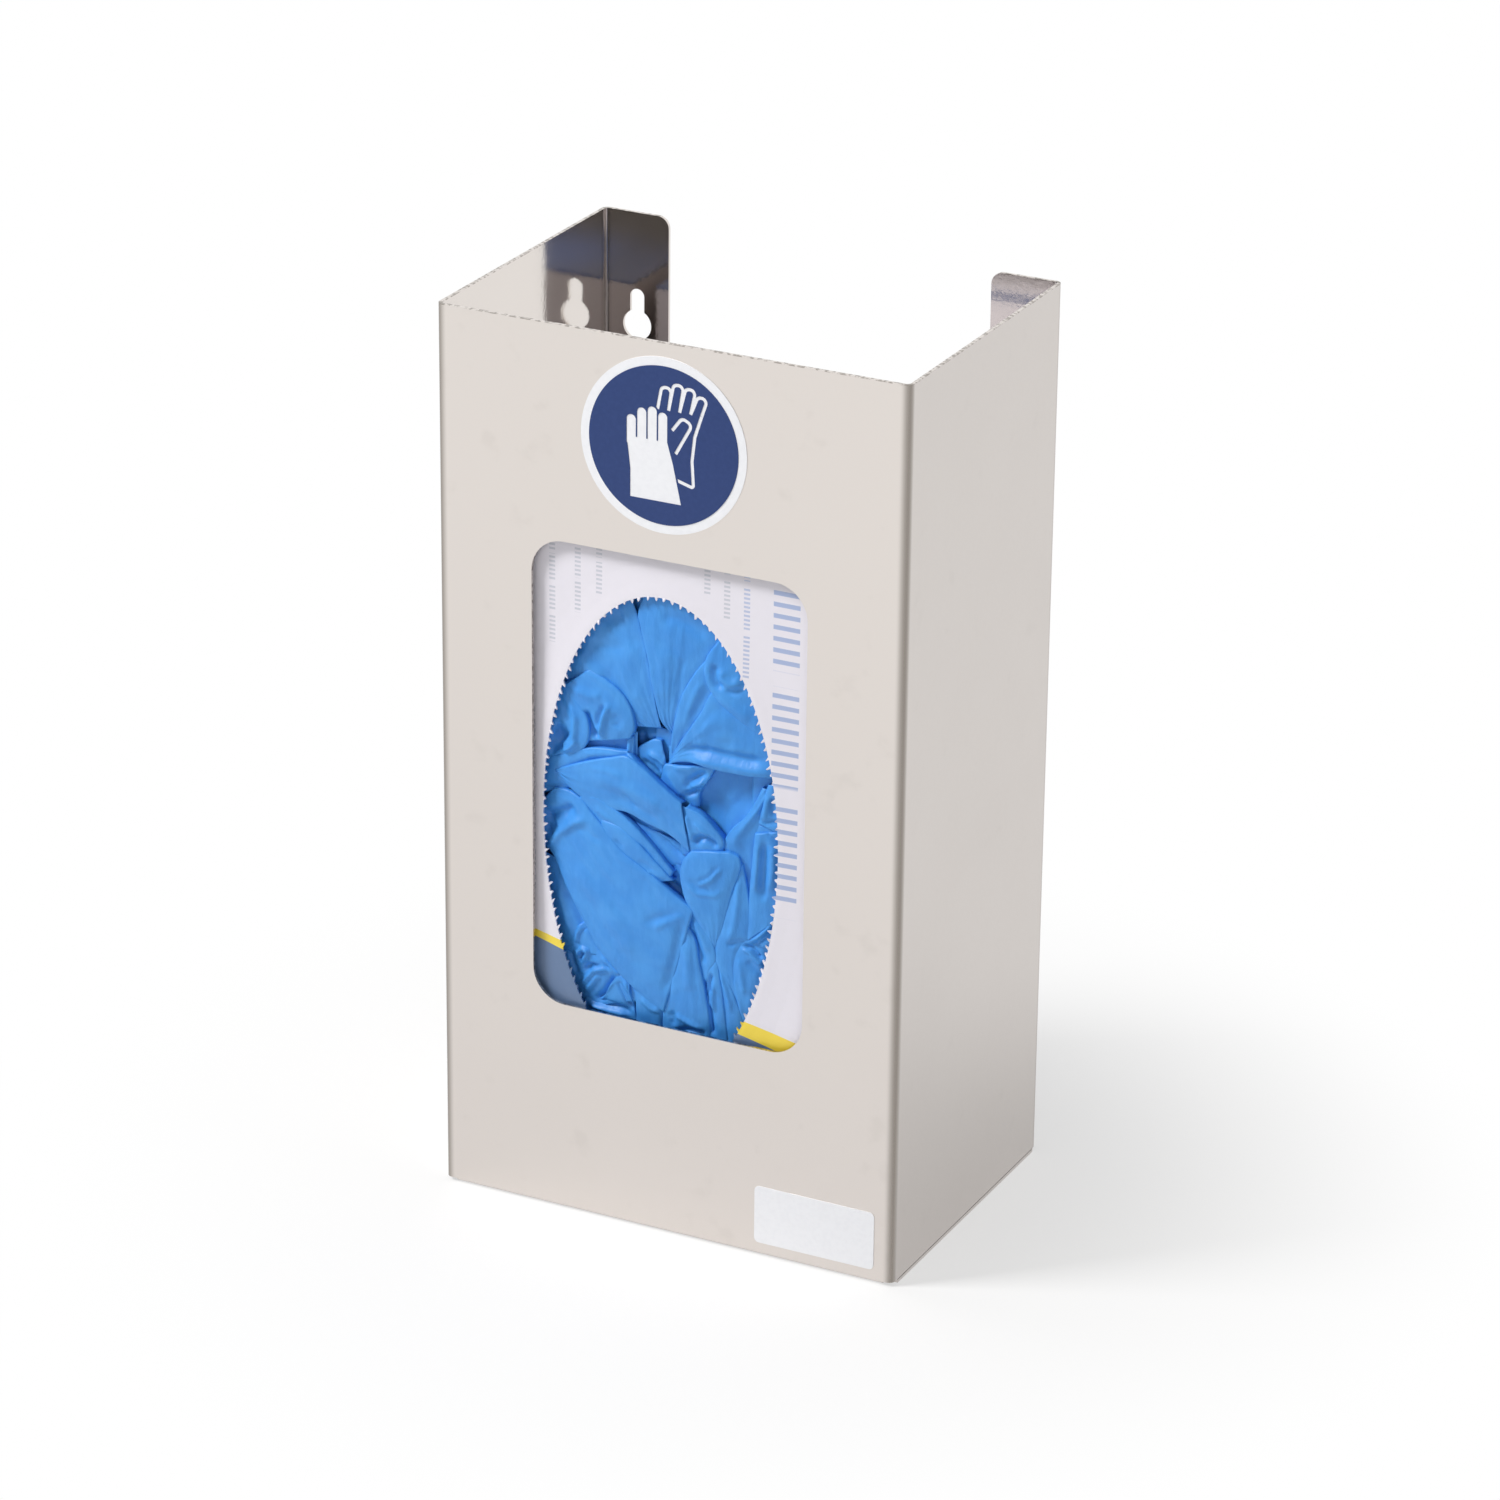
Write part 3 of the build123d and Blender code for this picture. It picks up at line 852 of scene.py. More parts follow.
    @staticmethod
    def _ring(mesh: bmesh.types.BMesh, places: np.ndarray) -> list[bmesh.types.BMEdge]:
        """Add a closed ring.

        Args:
            mesh: The mesh to add to.
            places: The ring's places.

        Returns:
            The ring's edges.
        """
        made = bmesh.ops.create_circle(mesh, cap_ends=False, radius=1.0, segments=len(places))
        for vertex, place in zip(made["verts"], places):
            vertex.co = Vector(place)
        return list({edge for vertex in made["verts"] for edge in vertex.link_edges})


class Edge(Enum):
    """An edge of a sheet that can roll back."""

    FIRST = "f"
    SECOND = "s"
    START = "t"
    END = "e"


@dataclass(frozen=True)
class Sheet:
    """One visible sheet of a crumpled glove, drawn between two rails.

    A rail is a line of text that Reader works out. The letters of rolled name the edges that roll
    back. A crease is its height, its width and its line.
    """

    name: str
    rolled: str
    crown: float
    first: str
    second: str
    creases: tuple

    def rolls(self, edge: Edge) -> bool:
        """True where the edge rolls back."""
        return edge.value in self.rolled


class Source(Enum):
    """What a place was read from: an enlarged view of the picture, or a size in millimetres."""

    TOP = "T"
    BOTTOM = "B"
    MILLIMETRES = "M"


@dataclass(frozen=True)
class View:
    """An enlarged part of the picture: its corner in pixels, and how far it is enlarged."""

    left: float
    top: float
    across_gain: float
    down_gain: float


VIEWS = {Source.TOP: View(535, 590, 6.149, 6.149), Source.BOTTOM: View(535, 790, 5.808, 5.807)}


@dataclass(frozen=True)
class Reader:
    """Works out where places that were read off the picture lie on the gloves.

    A line of text gives for each place how far across and down the view it is, and then its depth
    behind the front of the gloves, where it has one. A letter names the source from there on. With
    M the numbers are x and z. The camera is the one that was fitted to the holder's corners, with
    more digits than the studio's, and the bulge is an even one over the whole opening.
    """

    camera: tuple = (689.162578, -1379.553102, 783.345155)
    azimuth: float = 26.51154048
    elevation: float = 22.964885767
    roll: float = -0.593124199
    focal_pixels: float = 5968.901087
    middle_pixel: float = 750.0
    front: float = GLOVES_FRONT
    centre_x: float = CARTON_MIDDLE
    centre_z: float = OPENING_MIDDLE
    half_width: float = 36.0
    half_height: float = 68.5
    bulge: float = 2.2
    crease_depth: float = 1.0
    rounds: int = 4
    decimals: int = 1

    def line(self, text: str) -> np.ndarray:
        """Work out a line.

        Args:
            text: The line's text.

        Returns:
            Its places, each (x, z, depth), or (x, z) where the text gives no depth.
        """
        source, places = Source.TOP, []
        for item in text.split(","):
            words = item.split()
            if words[0].isalpha():
                source = Source(words.pop(0))
            across, down, *depth = (float(word) for word in words)
            if source is not Source.MILLIMETRES:
                across, down = self._on_gloves(VIEWS[source], across, down,
                                               *(depth or [self.crease_depth]))
            places.append((across, down, *depth))
        return np.array(places)

    def _on_gloves(self, view: View, across: float, down: float,
                   depth: float) -> tuple[float, float]:
        """Follow the camera's ray through a place to the gloves.

        Args:
            view: The enlarged view.
            across: The place across it.
            down: The place down it.
            depth: The depth behind the front of the gloves.

        Returns:
            The place's x and z.
        """
        ray = np.array((view.left + across / view.across_gain - self.middle_pixel,
                        view.top + down / view.down_gain - self.middle_pixel,
                        self.focal_pixels)) @ self._axes()
        y = self.front + depth
        for _ in range(self.rounds):
            x, _, z = self.camera + ray * (y - self.camera[1]) / ray[1]
            away = ((x - self.centre_x) / self.half_width) ** 2 \
                + ((z - self.centre_z) / self.half_height) ** 2
            y = self.front + depth - self.bulge * max(0.0, 1 - away)
        return round(x, self.decimals), round(z, self.decimals)

    def _axes(self) -> np.ndarray:
        """Work out the camera's directions.

        Returns:
            Its right, its down and its ahead.
        """
        azimuth, elevation, roll = (
            math.radians(angle) for angle in (self.azimuth, self.elevation, self.roll))
        ahead = np.array((-math.sin(azimuth) * math.cos(elevation),
                          math.cos(azimuth) * math.cos(elevation), -math.sin(elevation)))
        level = np.array((math.cos(azimuth), math.sin(azimuth), 0.0))
        right = level * math.cos(roll) + np.cross(ahead, level) * math.sin(roll)
        return np.stack((right, np.cross(ahead, right), ahead))


# The sheets of each glove that shows in the opening
GLOVE_SHEETS = {
    "glove_top": (
        Sheet("left_fan", "e", 0.5,
              "T 20 420 1.6, 190 560 1.8, 330 660 2.0, 480 780 2.4, 600 832 3.2",
              "T 560 -60 0.9, 598 60 0.9, 635 165 1.0, 662 270 1.2, 692 410 1.4, 715 540 1.7, "
              "745 715 2.2, 775 838 3.2",
              ((-0.3, 1.6, "T 330 330, 420 350, 560 355"),
               (0.5, 2.6, "T 250 360, 330 480, 430 560"),
               (-0.5, 2.2, "T 395 190, 480 175, 560 150"),
               (0.35, 3.0, "T 620 300, 560 500, 640 740"))),
        Sheet("right_fan", "fe", 0.6,
              "T 690 -60 0.3, 672 50 0.3, 641 165 0.2, 655 230 0.2, 672 310 0.3, 702 440 0.4, "
              "724 570 0.7, 750 705 1.2, 785 815 2.0, 850 892 3.2",
              "T 1260 240 1.2, 1180 330 1.4, 1100 450 1.6, 1010 570 1.8, 950 680 2.1, "
              "905 790 2.6, 885 905 3.6",
              ((-0.45, 1.8, "T 770 150, 880 175, 990 230, 1060 310"),
               (0.35, 3.0, "T 800 330, 790 520, 800 700"),
               (-0.2, 1.2, "T 930 400, 890 560, 860 700"))),
        Sheet("gap_sheet", "", 0.0,
              "T 560 -50 2.6, 590 60 2.6, 630 150 3.0",
              "T 720 -50 2.6, 680 60 2.6, 650 150 3.0",
              ()),
        Sheet("crossing_pleat", "f", 0.3,
              "T 1095 415 0.9, 1035 465 0.8, 962 562 0.8, 907 662 1.0, 872 780 1.4, 850 890 2.0, "
              "838 1018 3.2",
              "T 1180 600 1.8, 1110 660 1.8, 1040 780 1.9, 975 880 2.2, 920 950 2.8, "
              "875 1020 3.6",
              ((0.35, 1.0, "T 1060 520, 985 640, 935 760, 900 880"),
               (-0.25, 0.9, "T 1080 590, 1010 700, 950 800"))),
        Sheet("rim_lobe", "f", 0.5,
              "T 1150 300 0.6, 1112 345 0.4, 1060 425 0.2, 1047 490 0.0, 1062 575 0.0, "
              "1098 642 0.1, 1180 725 0.3, 1290 820 0.5, 1430 940 0.9",
              "T 1220 300 1.2, 1250 400 1.1, 1300 500 1.0, 1350 600 1.0, 1400 700 1.0, "
              "1450 800 1.0, 1470 860 1.0, 1480 900 1.0, 1490 950 1.2",
              ((-0.9, 1.1, "T 1118 440, 1108 510, 1130 575, 1180 600"),
               (0.7, 1.2, "T 1160 470, 1165 540, 1215 575, 1290 560"),
               (-0.5, 0.9, "T 1180 610, 1230 625, 1290 600"),
               (0.35, 1.6, "T 1120 640, 1230 720, 1340 800"))),
        Sheet("side_sheet", "fs", 0.2,
              "T 835 1030 3.4, 865 985 2.4, 905 925 1.5, 952 860 1.1, 1022 762 0.8, "
              "1088 645 0.7, 1180 610 1.0, 1300 680 1.2, 1420 780 1.2, 1500 900 1.2",
              "T 812 1078 3.2, 850 1056 2.2, 905 1046 1.4, 980 1056 1.0, 1050 1078 0.7, "
              "1110 1096 0.5, 1190 1112 0.5, 1280 1128 0.5, 1380 1142 0.6, 1520 1160 0.8",
              ((-1.0, 1.5, "T 860 1015, 960 985, 1060 990, 1170 1015, 1300 1040, 1460 1060"),
               (0.5, 1.2, "T 930 1050, 1040 1058, 1180 1085, 1330 1110, 1480 1130"),
               (0.3, 3.0, "T 960 900, 1080 820, 1250 850"),
               (-0.25, 1.4, "T 1000 960, 1100 930, 1240 960"))),
        Sheet("pocket_back", "", -0.5,
              "T 540 780 6.2, 550 900 7.0, 560 1060 7.2",
              "T 900 860 6.4, 880 950 7.4, 870 1100 7.4",
              ((1.6, 2.0, "T 620 960, 700 925, 800 905, 860 895"),
               (0.8, 1.2, "T 585 900, 592 1010"))),
        Sheet("pocket_fold", "fs", 0.4,
              "T 585 1035 4.2, 610 1000 4.0, 690 950 3.6, 745 932 3.4, 778 940 3.4",
              "T 640 1180 5.0, 690 1190 4.8, 745 1210 4.4, 785 1160 3.6, 812 1060 3.4",
              ((0.7, 0.8, "T 660 1010, 740 1050, 800 1110"),
               (-0.7, 0.9, "T 620 1060, 700 1110, 760 1190"),
               (-0.4, 0.7, "T 790 950, 810 1000, 830 1040"),
               (0.5, 0.6, "T 700 1140, 740 1165, 770 1120"))),
    ),
    "glove_left": (
        Sheet("upper_lobe", "tse", 0.7,
              "T 150 612 0.7, 190 700 0.9, 230 800 1.1, 290 915 1.5",
              "T 335 500 0.5, 430 563 0.5, 520 643 0.6, 566 715 0.7, 592 800 0.9, 598 862 1.2, "
              "578 908 1.6",
              ((-1.1, 1.0, "T 318 720, 335 800, 352 860, 400 920"),
               (0.9, 0.8, "T 468 680, 432 770, 412 850, 405 915"),
               (-0.7, 0.8, "T 440 690, 400 770, 385 850"),
               (-0.4, 1.2, "T 480 760, 520 800, 500 850"),
               (0.4, 1.4, "T 250 600, 330 640, 420 650"))),
        Sheet("rim_lobe_left", "se", 0.3,
              "T 100 540 0.8, 70 640 0.9, 45 740 1.0, 30 840 1.2, 15 930 1.3, 10 1030 1.4",
              "T 172 560 0.6, 215 630 0.4, 255 697 0.3, 303 775 0.2, 320 850 0.2, 316 915 0.3, "
              "285 972 0.6, 225 1006 0.9, 150 1018 1.2",
              ((0.8, 0.7, "T 215 680, 258 780, 250 860, 246 900, 258 930, 215 970, 110 1000"),
               (-2.0, 2.6, "T 110 860, 160 890, 190 930"),
               (-1.2, 2.0, "T 80 960, 130 960, 180 950"),
               (-0.4, 1.0, "T 140 620, 190 720, 210 820"))),
        Sheet("strip", "f", 0.4,
              "T -10 1030 1.4, 80 1030 1.2, 170 1022 1.0, 290 988 0.8, 430 988 0.8, 500 996 0.9, "
              "572 1006 1.1",
              "T -10 1250 1.8, 80 1235 1.7, 170 1225 1.7, 260 1215 1.8, 420 1130 1.9, "
              "520 1090 2.0, 610 1080 2.4",
              ((-0.4, 1.0, "T 100 1140, 250 1075, 420 1030"),
               (0.3, 1.0, "T 300 1005, 430 1008, 560 1015"),
               (-0.5, 0.9, "T 40 1215, 150 1205, 260 1240"))),
        Sheet("strip_end", "fs", 0.2,
              "T 572 905 2.6, 574 950 2.2, 570 1012 1.6",
              "T 598 900 3.0, 597 950 2.8, 592 1012 2.2",
              ()),
    ),
    "glove_centre": (
        Sheet("under_lobes", "", 0.0,
              "M -31 139 2.9, -31 149 2.9",
              "M -12 139 3.2, -12 149 3.4",
              ()),
        Sheet("under_pleat", "", 0.0,
              "M -7 138 4.9, -7 151 4.9",
              "M 2 138 4.4, 2 151 4.6",
              ()),
        Sheet("under_fan", "", 0.0,
              "M -2 139 3.4, -2 147 3",
              "M 10 139 3.6, 10 147 3",
              ()),
        Sheet("under_band", "", 0.0,
              "M -19 117 3.8, -19 129 3",
              "M 5 112 4.4, 5 131 3.4",
              ()),
        Sheet("under_tip", "", 0.0,
              "M 0.5 130 1.4, 3.2 116 1.6",
              "M 6.5 129 1.7, 6.5 116 1.8",
              ()),
        Sheet("under_edge", "", 0.0,
              "M 23 133 3.4, 23 146 3",
              "M 32 133 2.8, 32 146 2.6",
              ()),
        Sheet("band", "fst", 0.35,
              "T 132 1110 0.7, 240 1084 0.2, 350 1061 -0.1, 450 1046 -0.2, 562 1040 -0.3, "
              "640 1096 -0.4, 760 1206 -0.5, 850 1286 -0.4, B 852 92 -0.2",
              "T 140 1122 0.9, 186 1178 0.8, 242 1234 0.8, 332 1292 0.7, 432 1332 0.6, "
              "B 540 126 0.5, 640 182 0.5, 760 242 0.5, 898 356 0.6",
              ((0.5, 2.2, "T 330 1130, 520 1180, 700 1270, B 780 140"),
               (-0.35, 1.4, "T 470 1240, 560 1290, B 640 120, 740 190"),
               (-0.3, 0.7, "T 540 1230, 590 1290, B 600 110"),
               (0.25, 0.9, "T 350 1085, 460 1100, 560 1150"))),
        Sheet("band_curl", "f", 0.2,
              "T 560 1012 0.9, 580 1030 0.4, 608 1062 0.0, 640 1094 0.2",
              "T 566 1050 1.2, 590 1075 0.9, 620 1100 0.7, 650 1120 0.7",
              ()),
        Sheet("band_tip", "se", 0.5,
              "M 1.8 131.2 0.9, 2.7 128.2 0.9, 3.6 125.3 0.9, 4.6 118 1.1",
              "B 866 98 0.3, 958 152 0.0, 1030 230 0.0, 1083 312 0.4, 1080 350 0.8",
              ((-1.3, 1.0, "B 925 320, 950 280, 990 275, 1040 310, 1060 345"),
               (0.4, 0.7, "B 930 180, 980 230, 1020 270"),
               (0.5, 0.7, "B 880 130, 900 220, 925 300"))),
        Sheet("bowl", "", -1.6,
              "T 1060 1060 3.6, 1040 1190 4.6, 1000 1290 4.6, B 900 100 4.2, 1060 330 2.8",
              "T 1540 1120 2.6, 1500 1200 3.2, 1420 1290 3.4, B 1270 130 3.2, 1110 360 2.4",
              ((0.3, 1.6, "T 1180 1150, 1190 1250, B 1100 100"),)),
        Sheet("back_fold", "ts", 0.4,
              "T 790 1080 2.6, 775 1150 2.8, 770 1220 3.0, 850 1300 3.2, B 880 120 3.4",
              "T 1092 1096 1.8, 1066 1150 2.0, 1040 1192 2.2, 1000 1248 2.8, 996 1340 3.2",
              ((-0.9, 1.0, "T 1060 1120, 990 1150, 930 1190, 905 1250"),
               (0.9, 0.8, "T 1040 1185, 985 1205, 955 1235"),
               (-1.0, 0.8, "T 1000 1215, 960 1260, 900 1270"),
               (0.6, 1.4, "T 830 1080, 900 1100, 980 1090"),
               (0.5, 1.0, "T 800 1120, 840 1200, 900 1290"))),
    ),
    "glove_front": (
        Sheet("panel", "fse", 0.7,
              "B -10 110 1.5, 20 220 1.4, 62 318 1.2, 82 335 1.0, 180 540 0.5, 290 760 0.3, "
              "362 900 0.3, 452 1012 0.4, 568 1135 0.6, 742 1275 0.9",
              "B 110 -14 1.4, 190 12 1.0, 262 64 0.6, 318 140 0.3, 400 240 0.1, 502 370 -0.1, "
              "602 452 -0.2, 702 532 -0.3, 802 620 -0.3, 908 702 -0.2",
              ((0.8, 1.3, "B 70 330, 140 245, 240 180, 330 165"),
               (-1.2, 1.6, "B 40 150, 110 135, 180 125, 240 90"),
               (-1.0, 1.8, "B 60 240, 90 200, 130 180"),
               (0.5, 3.2, "B 200 400, 420 640, 620 1000"),
               (-0.35, 1.4, "B 640 760, 740 730, 860 720"),
               (0.4, 1.0, "B 700 800, 760 760, 880 712"),
               (-0.8, 1.6, "B 885 735, 855 830, 830 950, 790 1080, 750 1200"),
               (-0.2, 1.0, "B 230 210, 300 230, 400 300"))),
        Sheet("strip_back", "fe", 0.3,
              "B 258 44 0.9, 330 42 0.5, 450 120 0.3, 560 212 0.3, 640 300 0.3, 712 385 0.5, "
              "786 478 0.9",
              "B 252 66 1.3, 318 134 1.2, 388 214 1.1, 520 335 1.3, 620 425 1.4, 700 490 1.4, "
              "770 512 1.4",
              ((0.4, 0.8, "B 330 80, 430 160, 530 240, 640 340"),
               (-0.4, 0.9, "B 380 160, 480 200, 600 310, 700 420"))),
        Sheet("strip_leaf", "fse", 0.25,
              "B 384 182 0.5, 468 214 0.2, 560 290 0.0, 640 378 -0.1, 716 456 0.1, 778 520 0.5",
              "B 386 198 0.7, 402 242 0.6, 482 352 0.6, 540 402 0.6, 602 448 0.6, 692 527 0.8",
              ((-0.4, 0.6, "B 470 280, 500 310, 520 330"),
               (0.35, 0.6, "B 640 470, 700 475, 760 515"),
               (-0.3, 0.8, "B 600 400, 660 440, 700 500"))),
        Sheet("shade_upper", "s", 0.5,
              "B 420 80 2.6, 560 170 3.0, 700 235 3.2, 820 290 3.4, 900 345 3.4",
              "B 540 226 3.2, 640 300 3.2, 720 372 3.0, 800 430 2.8, 868 424 2.6",
              ((-0.7, 0.7, "B 560 180, 620 210, 700 270, 780 350, 860 412"),
               (0.6, 0.7, "B 640 230, 740 290, 820 350, 880 400"),
               (-0.5, 0.6, "B 720 285, 800 330, 870 395"))),
        Sheet("shade_lower", "e", 0.6,
              "B 600 250 3.8, 700 300 3.8, 800 370 3.6, 900 440 3.4, 920 520 3.4",
              "B 640 520 4.2, 700 580 4.2, 760 640 4.2, 850 700 4.4, 900 720 4.4",
              ((0.5, 1.2, "B 720 340, 800 420, 850 520, 860 600"),
               (-0.8, 1.0, "B 700 520, 780 560, 850 630"))),
        Sheet("left_sheet", "", 0.7,
              "B 10 330 2.6, 40 520 2.4, 80 680 2.2, 110 800 2.1, 150 920 2.1",
              "B 150 400 2.6, 240 580 2.2, 310 740 2.0, 350 850 2.0, 400 960 2.1",
              ((-0.9, 1.3, "B 160 560, 215 660, 265 770, 300 830"),
               (0.5, 1.2, "B 120 560, 170 700, 205 830"),
               (-0.6, 0.5, "B 120 885, 200 890, 260 885"))),
        Sheet("crumple", "t", 0.5,
              "B 128 872 1.8, 165 960 1.9, 190 1060 1.9, 240 1160 1.9, 290 1260 1.9",
              "B 300 770 2.0, 380 900 1.9, 460 1010 1.8, 560 1110 1.7, 620 1220 1.7",
              ((1.1, 0.6, "B 238 975, 248 940, 275 922, 300 932, 300 958, 280 985, 262 1000"),
               (-0.9, 0.6, "B 255 990, 262 950, 288 940"),
               (0.9, 0.7, "B 262 1140, 300 1090, 345 1045, 400 1040, 450 1055"),
               (-0.8, 0.8, "B 270 1060, 330 1010, 390 1020, 450 1050"),
               (-1.1, 1.0, "B 350 1230, 410 1180, 445 1120, 460 1070"),
               (0.7, 0.8, "B 285 1170, 330 1120, 380 1060"),
               (0.8, 0.7, "B 235 890, 245 830, 275 790"),
               (-0.7, 0.8, "B 265 880, 300 830, 330 860, 380 940"),
               (0.7, 0.7, "B 300 980, 360 1010, 420 1030"),
               (-0.6, 0.7, "B 200 930, 215 1000, 245 1080"),
               (0.6, 0.9, "B 380 960, 440 1030, 500 1080"))),
        Sheet("crumple_low", "f", 0.5,
              "B 290 1212 1.3, 380 1215 1.1, 450 1120 1.2, 480 1088 1.2, 530 1092 1.2, "
              "560 1180 1.4, 596 1330 1.7",
              "B 260 1320 1.9, 340 1350 1.9, 420 1370 1.9, 480 1380 1.9, 520 1390 1.9, "
              "560 1400 1.9, 620 1400 1.9",
              ((0.9, 0.9, "B 300 1235, 420 1275, 560 1312"),
               (-0.8, 0.9, "B 300 1215, 400 1230, 500 1262, 580 1300"),
               (0.8, 0.7, "B 512 1092, 560 1180, 588 1260, 596 1330"),
               (-0.8, 0.7, "B 480 1100, 530 1200, 570 1290"),
               (0.5, 0.8, "B 330 1200, 420 1150, 470 1090"))),
        Sheet("bottom_sheet", "f", 0.4,
              "B 588 1150 1.2, 592 1230 1.2, 604 1400 1.5",
              "B 770 1270 1.5, 765 1320 1.6, 770 1420 1.8",
              ((-0.9, 0.6, "B 742 1270, 746 1330, 748 1400"),
               (0.5, 0.8, "B 610 1200, 680 1270, 735 1290"))),
        Sheet("pleat_right", "s", 0.4,
              "B 880 715 1.6, 898 830 1.9, 935 980 2.1, 965 1120 2.1, 985 1250 2.1, "
              "1005 1440 2.0",
              "B 916 702 0.7, 976 792 0.5, 1020 890 0.5, 1041 985 0.8, 1004 1062 1.2, "
              "1000 1180 1.6, 1030 1440 1.8",
              ((0.5, 0.8, "B 920 745, 975 850, 1015 950"),
               (-0.7, 1.0, "B 905 800, 945 920, 985 1020"),
               (-0.6, 0.7, "B 985 1100, 975 1170, 1010 1205"))),
        Sheet("pleat_tall", "fst", 0.5,
              "B 868 822 0.6, 852 900 0.7, 832 1000 0.9, 797 1110 1.1, 756 1260 1.2, "
              "752 1420 1.5",
              "B 888 818 0.6, 908 856 0.6, 938 990 0.7, 968 1125 0.9, 990 1250 1.1, "
              "1018 1460 1.4",
              ((0.5, 1.6, "B 880 860, 888 1000, 900 1180"),
               (-0.8, 0.7, "B 800 1400, 880 1390, 1000 1410"),
               (-0.5, 0.8, "B 770 1320, 810 1300, 800 1370"),
               (0.5, 0.8, "B 800 1290, 900 1350, 990 1400"))),
    ),
    "glove_right": (
        Sheet("thumb", "fste", 0.9,
              "B 908 364 0.2, 872 404 0.1, 850 475 0.0, 858 560 0.0, 880 640 0.0, 912 706 0.1, "
              "965 792 0.3, 1010 878 0.6, 1034 908 0.9",
              "B 1128 368 0.1, 1166 392 0.1, 1180 432 0.1, 1166 502 0.1, 1132 592 0.2, "
              "1102 700 0.3, 1078 800 0.5, 1058 870 0.8, 1046 908 0.9",
              ((0.5, 0.5, "B 955 545, 1035 510, 1105 435"),
               (-0.35, 0.6, "B 950 530, 1025 495, 1090 425"),
               (0.3, 0.7, "B 885 520, 950 590, 1060 605, 1110 565"),
               (-0.25, 0.8, "B 895 500, 960 560, 1050 575"))),
        Sheet("finger", "fs", 0.5,
              "B 1180 428 0.9, 1156 540 0.8, 1118 660 0.8, 1080 800 0.8, 1056 900 0.8, "
              "1050 985 0.9, 1082 1060 1.0, 1142 1190 1.2, 1212 1350 1.5",
              "B 1192 428 0.9, 1214 545 0.8, 1236 700 0.7, 1238 800 0.7, 1232 868 0.8, "
              "1184 905 0.9, 1164 970 1.0, 1162 1100 1.1, 1222 1360 1.4",
              ((0.4, 0.9, "B 1185 500, 1180 650, 1160 800, 1110 900"),
               (-0.5, 0.8, "B 1230 870, 1180 880, 1120 900"))),
        Sheet("pleat_left", "fs", 0.3,
              "B 1040 985 1.2, 1010 1060 1.1, 1004 1130 1.2, 1020 1200 1.4, 1004 1300 1.6, "
              "1020 1460 1.6",
              "B 1048 990 0.9, 1062 1080 0.8, 1076 1180 0.9, 1092 1290 1.0, 1105 1400 1.1, "
              "1118 1480 1.2",
              ((-0.9, 0.6, "B 1030 1060, 1010 1130, 1028 1190"),
               (0.6, 0.6, "B 1040 1120, 1030 1200, 1040 1300"),
               (-1.0, 0.8, "B 1010 1240, 1020 1330, 1035 1430"))),
        Sheet("pleat_mid", "fs", 0.3,
              "B 1050 995 1.3, 1070 1090 1.3, 1085 1190 1.4, 1100 1300 1.4, 1112 1400 1.5, "
              "1124 1490 1.5",
              "B 1062 1000 0.9, 1090 1060 0.8, 1130 1150 0.8, 1165 1240 0.9, 1200 1340 1.1, "
              "1216 1420 1.3",
              ((0.4, 0.6, "B 1075 1050, 1110 1160, 1150 1300"),)),
        Sheet("column", "ft", 0.5,
              "B 1283 266 0.6, 1270 420 0.5, 1253 600 0.5, 1244 750 0.6, 1234 874 0.9",
              "B 1480 250 1.2, 1480 420 1.2, 1470 560 1.2, 1450 680 1.1, 1430 745 1.0",
              ((-0.8, 1.1, "B 1340 280, 1335 400, 1325 540, 1330 660"),
               (0.5, 0.9, "B 1305 290, 1300 420, 1285 600"),
               (0.5, 1.0, "B 1385 300, 1385 450, 1370 600"),
               (-0.5, 0.5, "B 1345 245, 1400 290, 1440 330"))),
        Sheet("edge_sheet", "f", 0.4,
              "B 1330 -10 1.4, 1286 78 1.4, 1229 164 1.3, 1152 232 1.3, 1114 290 1.2, "
              "1104 345 1.2, 1160 425 1.5, 1205 530 1.7, 1230 650 1.8, 1240 760 1.8",
              "B 1380 0 1.6, 1360 80 1.7, 1340 170 1.8, 1310 280 1.9, 1300 340 1.9, "
              "1292 420 2.0, 1280 520 2.0, 1270 600 2.1, 1262 700 2.1, 1252 800 2.1",
              ((0.5, 1.0, "B 1300 110, 1230 200, 1170 270, 1150 340"),
               (-0.3, 1.4, "B 1190 300, 1220 420, 1240 560"),
               (0.5, 0.6, "B 1350 20, 1300 110, 1270 160"))),
        Sheet("edge_bit", "fe", 0.4,
              "B 1362 -30 0.9, 1345 30 0.8, 1330 110 0.8, 1308 192 0.9",
              "B 1480 -40 1.2, 1480 60 1.2, 1480 160 1.2, 1460 262 1.2",
              ((0.5, 0.6, "B 1360 30, 1345 110, 1320 180"),
               (-0.6, 0.6, "B 1315 195, 1370 185, 1430 190"),
               (-0.5, 0.8, "B 1390 40, 1380 110, 1400 170"))),
        Sheet("edge_bit_low", "fe", 0.2,
              "B 1306 205 1.4, 1296 235 1.4, 1284 268 1.4",
              "B 1420 240 1.5, 1420 270 1.5, 1420 300 1.5",
              ()),
        Sheet("lower_fan", "ft", 0.4,
              "B 1186 902 1.2, 1166 960 0.9, 1160 1080 0.8, 1176 1200 0.9, 1214 1350 1.2",
              "B 1470 720 1.4, 1430 880 1.3, 1400 1010 1.3, 1350 1180 1.3, 1290 1340 1.4",
              ((0.7, 0.6, "B 1190 905, 1250 935, 1300 990, 1340 1030"),
               (-0.8, 0.6, "B 1200 900, 1260 915, 1330 985"),
               (0.7, 0.7, "B 1240 885, 1310 850, 1390 770"),
               (-0.6, 0.8, "B 1250 905, 1330 860, 1400 800"),
               (0.4, 1.0, "B 1190 960, 1200 1080, 1230 1200"),
               (-0.4, 1.0, "B 1230 980, 1300 1060, 1330 1100"),
